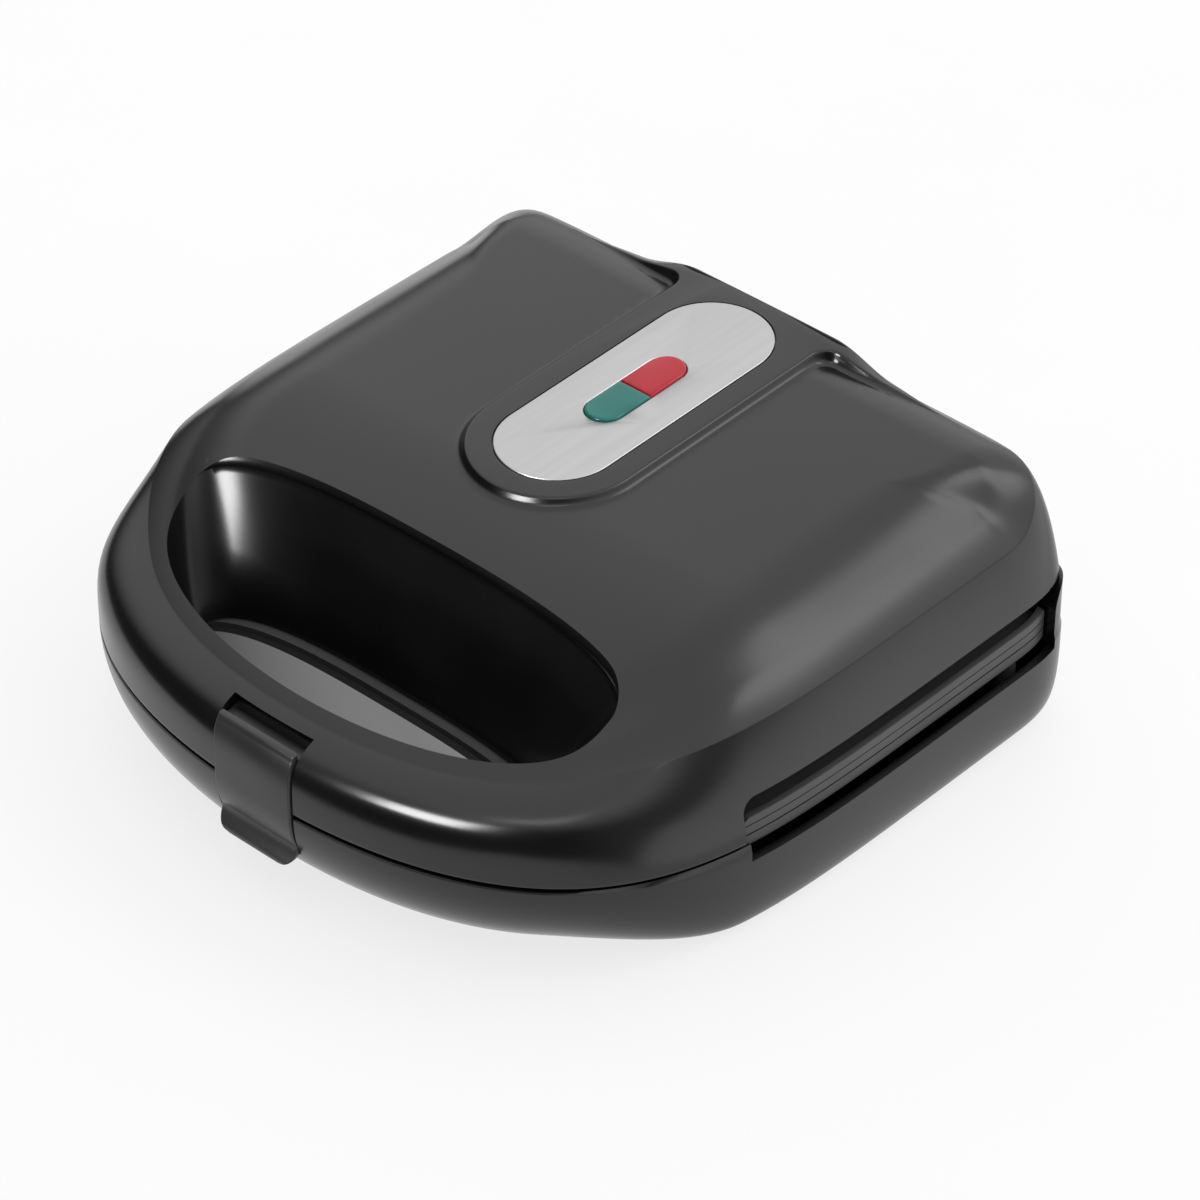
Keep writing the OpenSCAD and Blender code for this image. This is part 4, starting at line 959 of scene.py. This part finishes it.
def screwTree():
    # shank above the point, domed head with a cross recess below it
    tree, groupIn, groupOut, join = stackTree("screwRows", [
        ("Dome", 1.9, 2.8, 0.5), ("Head", 2.8, 3.0, 0.4), ("Bearing", 3.0, 3.0, 0.9),
        ("Shank", 1.4, 1.4, 9.5), ("Point", 1.4, 0.4, 1.5)])
    slots = addNode(tree, "GeometryNodeJoinGeometry")
    for size in ((4.0, 0.8, 1.8), (0.8, 4.0, 1.8)):
        bar = addNode(tree, "GeometryNodeMeshCube", {}, {"Size": [v * mm for v in size]})
        tree.links.new(bar.outputs["Mesh"], slots.inputs[0])
    cut = addNode(tree, "GeometryNodeMeshBoolean", {"Mesh 1": join.outputs[0], "Mesh 2": slots.outputs[0]},
                  operation="DIFFERENCE")
    drop = addNode(tree, "GeometryNodeTransform", {"Geometry": cut.outputs["Mesh"]},
                   {"Translation": (0, 0, -1.8 * mm)})
    return spreadOnPoints(tree, groupIn, groupOut, drop.outputs[0])


# finishes

def finishNodes(name):
    material = bpy.data.materials.new(name)
    material.use_nodes = True
    tree = material.node_tree
    shader = tree.nodes["Principled BSDF"]
    place = tree.nodes.new("ShaderNodeTexCoord")
    return material, tree, shader, place.outputs["Object"]


def noise(tree, coords, scale, detail=2.0, stretch=None):
    if stretch is not None:
        coords = addNode(tree, "ShaderNodeMapping", {"Vector": coords}, {"Scale": stretch}).outputs["Vector"]
    cloud = addNode(tree, "ShaderNodeTexNoise", {"Vector": coords}, {"Scale": scale, "Detail": detail})
    return cloud.outputs["Fac"]


def colourBetween(tree, shader, factor, dark, light):
    ramp = addNode(tree, "ShaderNodeValToRGB", {"Fac": factor})
    for stop, position, colour in zip(ramp.color_ramp.elements, (0.3, 0.7), (dark, light)):
        stop.position = position
        stop.color = (*colour, 1)
    tree.links.new(ramp.outputs["Color"], shader.inputs["Base Color"])


def roughBetween(tree, shader, factor, low, high):
    ramp = addNode(tree, "ShaderNodeMapRange", {"Value": factor},
                   {"From Min": 0.3, "From Max": 0.7, "To Min": low, "To Max": high})
    tree.links.new(ramp.outputs["Result"], shader.inputs["Roughness"])


def bumpFrom(tree, shader, factor, strength, distance):
    bump = addNode(tree, "ShaderNodeBump", {"Height": factor}, {"Strength": strength, "Distance": distance})
    tree.links.new(bump.outputs["Normal"], shader.inputs["Normal"])


def mouldedFinish(name, look):
    # plastic, rubber and coatings: cloudy colour, uneven gloss and a fine skin
    material, tree, shader, coords = finishNodes(name)
    colourBetween(tree, shader, noise(tree, coords, look["cloud"]), look["dark"], look["light"])
    roughBetween(tree, shader, noise(tree, coords, look["glossCloud"], 3), *look["rough"])
    grain = noise(tree, coords, look["grain"], look.get("grainDetail", 3))
    bumpFrom(tree, shader, grain, look["bump"], look["bumpDepth"] * mm)
    setInputs(shader, {"IOR": 1.5, "Specular IOR Level": look.get("specular", 0.5),
                       "Coat Weight": look.get("coat", 0), "Coat Roughness": 0.1})
    return material


def metalFinish(name, look):
    # brushed or satin metal: fine streaks along one direction
    material, tree, shader, coords = finishNodes(name)
    setInputs(shader, {"Metallic": 1})
    streak = noise(tree, coords, look["streak"], 4, look["stretch"])
    colourBetween(tree, shader, streak, look["dark"], look["light"])
    roughBetween(tree, shader, noise(tree, coords, look["glossCloud"], 2), *look["rough"])
    bumpFrom(tree, shader, streak, look["bump"], look["bumpDepth"] * mm)
    return material


def lensFinish(name, look):
    material, tree, shader, coords = finishNodes(name)
    colourBetween(tree, shader, noise(tree, coords, 60, 1), look["dark"], look["light"])
    roughBetween(tree, shader, noise(tree, coords, 90, 2), *look["rough"])
    bumpFrom(tree, shader, noise(tree, coords, 300, 2), 0.1, 0.02 * mm)
    # the emission is a faint painted glow in the lens's light colour; no lamp behind the lens is lit
    setInputs(shader, {"Transmission Weight": look["through"], "Subsurface Weight": look["glow"],
                       "Subsurface Radius": look["glowRadius"], "Subsurface Scale": 4 * mm,
                       "Specular IOR Level": 0.3, "Emission Color": (*look["light"], 1),
                       "Emission Strength": look["paintedGlow"]})
    return material


# each finish runs between a dark and a light colour; cloud, glossCloud, grain and streak are pattern scales
finishLooks = {
    "shellBlack": {"dark": (0.004, 0.004, 0.0042), "light": (0.006, 0.006, 0.0063), "cloud": 14,
                   "glossCloud": 30, "rough": (0.2, 0.25), "grain": 900, "bump": 0.05, "bumpDepth": 0.05},
    "latchBlack": {"dark": (0.022, 0.022, 0.023), "light": (0.03, 0.03, 0.031), "cloud": 40,
                   "glossCloud": 60, "rough": (0.33, 0.4), "grain": 1200, "bump": 0.07, "bumpDepth": 0.05},
    "linerBlack": {"dark": (0.045, 0.045, 0.046), "light": (0.058, 0.058, 0.059), "cloud": 30,
                   "glossCloud": 50, "rough": (0.4, 0.5), "grain": 1500, "bump": 0.12, "bumpDepth": 0.08},
    "castCoat": {"dark": (0.018, 0.018, 0.019), "light": (0.032, 0.032, 0.034), "cloud": 60,
                 "glossCloud": 80, "rough": (0.36, 0.46), "grain": 2200, "grainDetail": 5, "bump": 0.25,
                 "bumpDepth": 0.08},
    "whitePart": {"dark": (0.74, 0.71, 0.64), "light": (0.84, 0.81, 0.74), "cloud": 60, "glossCloud": 70,
                  "rough": (0.4, 0.55), "grain": 1500, "bump": 0.1, "bumpDepth": 0.08},
    "footRubber": {"dark": (0.028, 0.028, 0.03), "light": (0.04, 0.04, 0.042), "cloud": 90,
                   "glossCloud": 120, "rough": (0.68, 0.8), "grain": 2500, "bump": 0.25, "bumpDepth": 0.1,
                   "specular": 0.3},
    "leadSleeve": {"dark": (0.76, 0.75, 0.7), "light": (0.86, 0.85, 0.8), "cloud": 80, "glossCloud": 90,
                   "rough": (0.5, 0.6), "grain": 2600, "bump": 0.2, "bumpDepth": 0.06},
    "lampGlass": {"dark": (0.8, 0.62, 0.45), "light": (0.95, 0.8, 0.65), "cloud": 120, "glossCloud": 90,
                  "rough": (0.08, 0.14), "grain": 400, "bump": 0.05, "bumpDepth": 0.04, "coat": 0.4},
}
metalLooks = {
    "trimMetal": {"dark": (0.44, 0.44, 0.445), "light": (0.47, 0.47, 0.475), "streak": 420,
                  "stretch": (1, 0.03, 1), "glossCloud": 50, "rough": (0.34, 0.42), "bump": 0.05,
                  "bumpDepth": 0.03},
    "plainSteel": {"dark": (0.5, 0.5, 0.51), "light": (0.64, 0.64, 0.65), "streak": 900,
                   "stretch": (0.08, 1, 1), "glossCloud": 90, "rough": (0.28, 0.4), "bump": 0.12,
                   "bumpDepth": 0.04},
    "sheetSteel": {"dark": (0.58, 0.59, 0.6), "light": (0.7, 0.71, 0.72), "streak": 700,
                   "stretch": (0.05, 1, 1), "glossCloud": 60, "rough": (0.3, 0.42), "bump": 0.1,
                   "bumpDepth": 0.03},
}
# paintedGlow is the strength of a faint glow painted into each lens; no lamp in the scene lights it
lensLooks = {
    "lensRed": {"dark": (0.4, 0.008, 0.02), "light": (0.5, 0.016, 0.034), "rough": (0.14, 0.2),
                "through": 0.15, "glow": 0.3, "glowRadius": (1, 0.15, 0.15), "paintedGlow": 0.05},
    "lensGreen": {"dark": (0.008, 0.14, 0.12), "light": (0.016, 0.21, 0.18), "rough": (0.14, 0.2),
                  "through": 0.15, "glow": 0.3, "glowRadius": (0.15, 1, 0.7), "paintedGlow": 0.03},
}
finishes = {name: mouldedFinish(name, look) for name, look in finishLooks.items()}
finishes.update({name: metalFinish(name, look) for name, look in metalLooks.items()})
finishes.update({name: lensFinish(name, look) for name, look in lensLooks.items()})
slotFinish = {
    "shell_black": "shellBlack", "latch_black": "latchBlack", "liner_black": "linerBlack",
    "cast_plate": "castCoat", "steel": "plainSteel", "sheet_steel": "sheetSteel", "white_part": "whitePart",
    "rubber": "footRubber", "trim_metal": "trimMetal", "lens_red": "lensRed", "lens_green": "lensGreen",
    "lamp_glass": "lampGlass", "lead_sleeve": "leadSleeve"}
nodeSlot = {part["node"]: part["material_slot"] for part in frame["record"]["subparts"]}
for nodeName, nodeObject in frame["nodes"].items():
    nodeObject.data.materials.clear()
    nodeObject.data.materials.append(finishes[slotFinish[nodeSlot[nodeName]]])
print("finishes made:", len(finishes))


def dress(piece, carrier, slotName, *nodes):
    # gives a finished piece its material when it has none and the body it rides on, and hides the solids it
    # stands for
    if not any(piece.data.materials):
        piece.data.materials.clear()
        piece.data.materials.append(finishes[slotFinish[slotName]])
    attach(piece, carrier)
    if nodes:
        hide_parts(*nodes)
    return piece


# the pieces

dress(makeLid(), "lid", "shell_black", "lid_shell")
print("lid cover made")
dress(makeBase(), "base", "shell_black", "base_shell")
print("base made")
dress(makeLiner("lidLiner", True), "lid", "liner_black", "lid_liner")
dress(makeLiner("baseLiner", False), "base", "liner_black", "base_liner")
print("liners made")
dress(makePlate("lowerGrill", False), "base", "cast_plate", "lower_plate")
dress(makePlate("upperGrill", True), "lid", "cast_plate", "upper_plate")
print("plates made")
dress(makeLatch(), "latch", "latch_black", "latch")
dress(makeTrimPlate(), "lid", "trim_metal", "trim_plate")
dress(makeLens("redLens", 1), "lid", "lens_red", "red_lens")
dress(makeLens("greenLens", -1), "lid", "lens_green", "green_lens")
print("latch, trim plate and lenses made")

feet = footTree()
screws = screwTree()
rubber, steel = finishes["footRubber"], finishes["plainSteel"]
footPlaces = [(x, y, 0) for x, y in baseParts["feet"]]
for name, places, node in (("frontFeet", footPlaces[:2], "front_feet"),
                           ("rearFeet", footPlaces[2:], "rear_feet")):
    row = runTree(meshPiece(name, places, []), feet, {"Finish": rubber, "Sides": 48})
    dress(finishSurface(row, 40), "base", "rubber", node)
screwPlaces = [(x, y, body["under"] + 5) for x, y in baseParts["bosses"]]
row = runTree(meshPiece("baseScrewRow", screwPlaces, []), screws, {"Finish": steel, "Sides": 36})
dress(finishSurface(row, 35), "base", "steel", "base_screws")
lidScrewPlaces = [(-98, -46, 36.15), (98, -46, 36.15), (-58, 101.5, 48.4), (58, 101.5, 48.4)]
row = runTree(meshPiece("lidScrewRow", lidScrewPlaces, []), screws,
              {"Finish": steel, "Sides": 36, "Shank height": 8.5 * mm})
dress(finishSurface(row, 35), "lid", "steel", "lid_screws")
print("feet and screws made")

# floor, light and camera

studio = {"floorSize": 6.0, "floorColour": 0.16, "floorLift": 0.78, "worldLevel": 0.05,
          "lobes": [{"towards": (0.0, 0.4, 0.9), "spread": (0.1, 0.65), "level": 1.2},
                    {"towards": (0.8, 0.55, 0.1), "spread": (0.2, 0.9), "level": 0.25}],
          "cards": [{"corners": [(-700, -175), (110, -175), (190, -90), (190, 1100), (-700, 1100)],
                     "level": 0.9},
                    {"corners": [(190, -90), (900, -90), (900, 1100), (190, 1100)], "level": 1.45}]}


# the two front lights are only mirrored by the toaster
softboxes = {
    "sideSoftbox": {"place": (1.0, 1.1, 1.5), "aim": (0.1, 0, 0.05), "size": (0.8, 0.8), "power": 5,
                    "lightsSurfaces": True},
    "frontSoftbox": {"place": (-0.03, -1.3, 0.66), "aim": (0.05, -0.1, 0.05), "size": (0.5, 0.5), "power": 20,
                     "lightsSurfaces": False},
    "barSoftbox": {"place": (0.42, -0.75, 1.25), "aim": (0.05, -0.1, 0.05), "size": (0.7, 0.3), "power": 1.2,
                   "lightsSurfaces": False},
}


def makeFloor():
    half = studio["floorSize"] / 2 / mm
    corners = [(-half, -half, 0), (half, -half, 0), (half, half, 0), (-half, half, 0)]
    floor = meshPiece("floor", corners, [[0, 1, 2, 3]])
    material, tree, shader, coords = finishNodes("floorWhite")
    c = studio["floorColour"]
    colourBetween(tree, shader, noise(tree, coords, 3), (c, c, c), (c + 0.01, c + 0.01, c + 0.01))
    roughBetween(tree, shader, noise(tree, coords, 20), 0.6, 0.7)
    setInputs(shader, {"Specular IOR Level": 0.2, "Emission Color": (1, 1, 1, 1),
                       "Emission Strength": studio["floorLift"]})
    floor.data.materials.append(material)
    floor.visible_glossy = False
    # what the toaster mirrors of the floor: pale cards that end in front of it
    for k, look in enumerate(studio["cards"]):
        corners = [(x, y, -1) for x, y in look["corners"]]
        card = meshPiece("mirrorCard" + str(k), corners, [list(range(len(corners)))])
        material, tree, shader, coords = finishNodes("cardWhite" + str(k))
        setInputs(shader, {"Base Color": (0, 0, 0, 1), "Specular IOR Level": 0,
                           "Emission Color": (1, 1, 1, 1), "Emission Strength": look["level"]})
        card.data.materials.append(material)
        card.visible_camera = card.visible_diffuse = card.visible_shadow = False


def areaLight(name, look):
    data = bpy.data.lights.new(name, "AREA")
    data.shape = "RECTANGLE"
    data.size, data.size_y = look["size"]
    data.energy = look["power"]
    light = bpy.data.objects.new(name, data)
    scene.collection.objects.link(light)
    light.location = look["place"]
    aim = Vector(look["aim"]) - Vector(look["place"])
    light.rotation_euler = aim.to_track_quat("-Z", "Y").to_euler()
    light.visible_diffuse = look["lightsSurfaces"]


def makeWorld():
    # soft white surroundings that are brightest behind the toaster and dim in front of it
    world = bpy.data.worlds.new("studioAir")
    scene.world = world
    world.use_nodes = True
    tree = world.node_tree
    coords = addNode(tree, "ShaderNodeTexCoord").outputs["Generated"]
    total = addNode(tree, "ShaderNodeValue").outputs[0]
    total.default_value = studio["worldLevel"]
    for lobe in studio["lobes"]:
        dot = addNode(tree, "ShaderNodeVectorMath", {0: coords}, {1: Vector(lobe["towards"]).normalized()},
                      operation="DOT_PRODUCT")
        ramp = addNode(tree, "ShaderNodeMapRange", {"Value": dot.outputs["Value"]},
                       {"From Min": lobe["spread"][0], "From Max": lobe["spread"][1], "To Min": 0,
                        "To Max": lobe["level"]}, interpolation_type="SMOOTHSTEP")
        total = addNode(tree, "ShaderNodeMath", {0: total, 1: ramp.outputs["Result"]}).outputs[0]
    air = tree.nodes["Background"]
    setInputs(air, {"Color": (1, 1, 1, 1)})
    tree.links.new(total, air.inputs["Strength"])


makeFloor()
makeWorld()
for name, look in softboxes.items():
    areaLight(name, look)

view = {"azimuth": 42.4009, "elevation": 37.7173, "distance": 1466.09, "target": (21.573, 8.29, 45.0),
        "focal": 151.947}
azimuth, elevation = math.radians(view["azimuth"]), math.radians(view["elevation"])
target = Vector(view["target"]) * mm
back = Vector((math.sin(azimuth) * math.cos(elevation), -math.cos(azimuth) * math.cos(elevation),
               math.sin(elevation)))
cameraData = bpy.data.cameras.new("camera")
cameraData.lens = view["focal"]
cameraData.sensor_width = 36
cameraData.clip_end = 50
camera = bpy.data.objects.new("camera", cameraData)
scene.collection.objects.link(camera)
camera.location = target + back * view["distance"] * mm
camera.rotation_euler = (-back).to_track_quat("-Z", "Y").to_euler()
scene.camera = camera
scene.view_settings.view_transform = "Standard"
print("stage, lights and camera set")
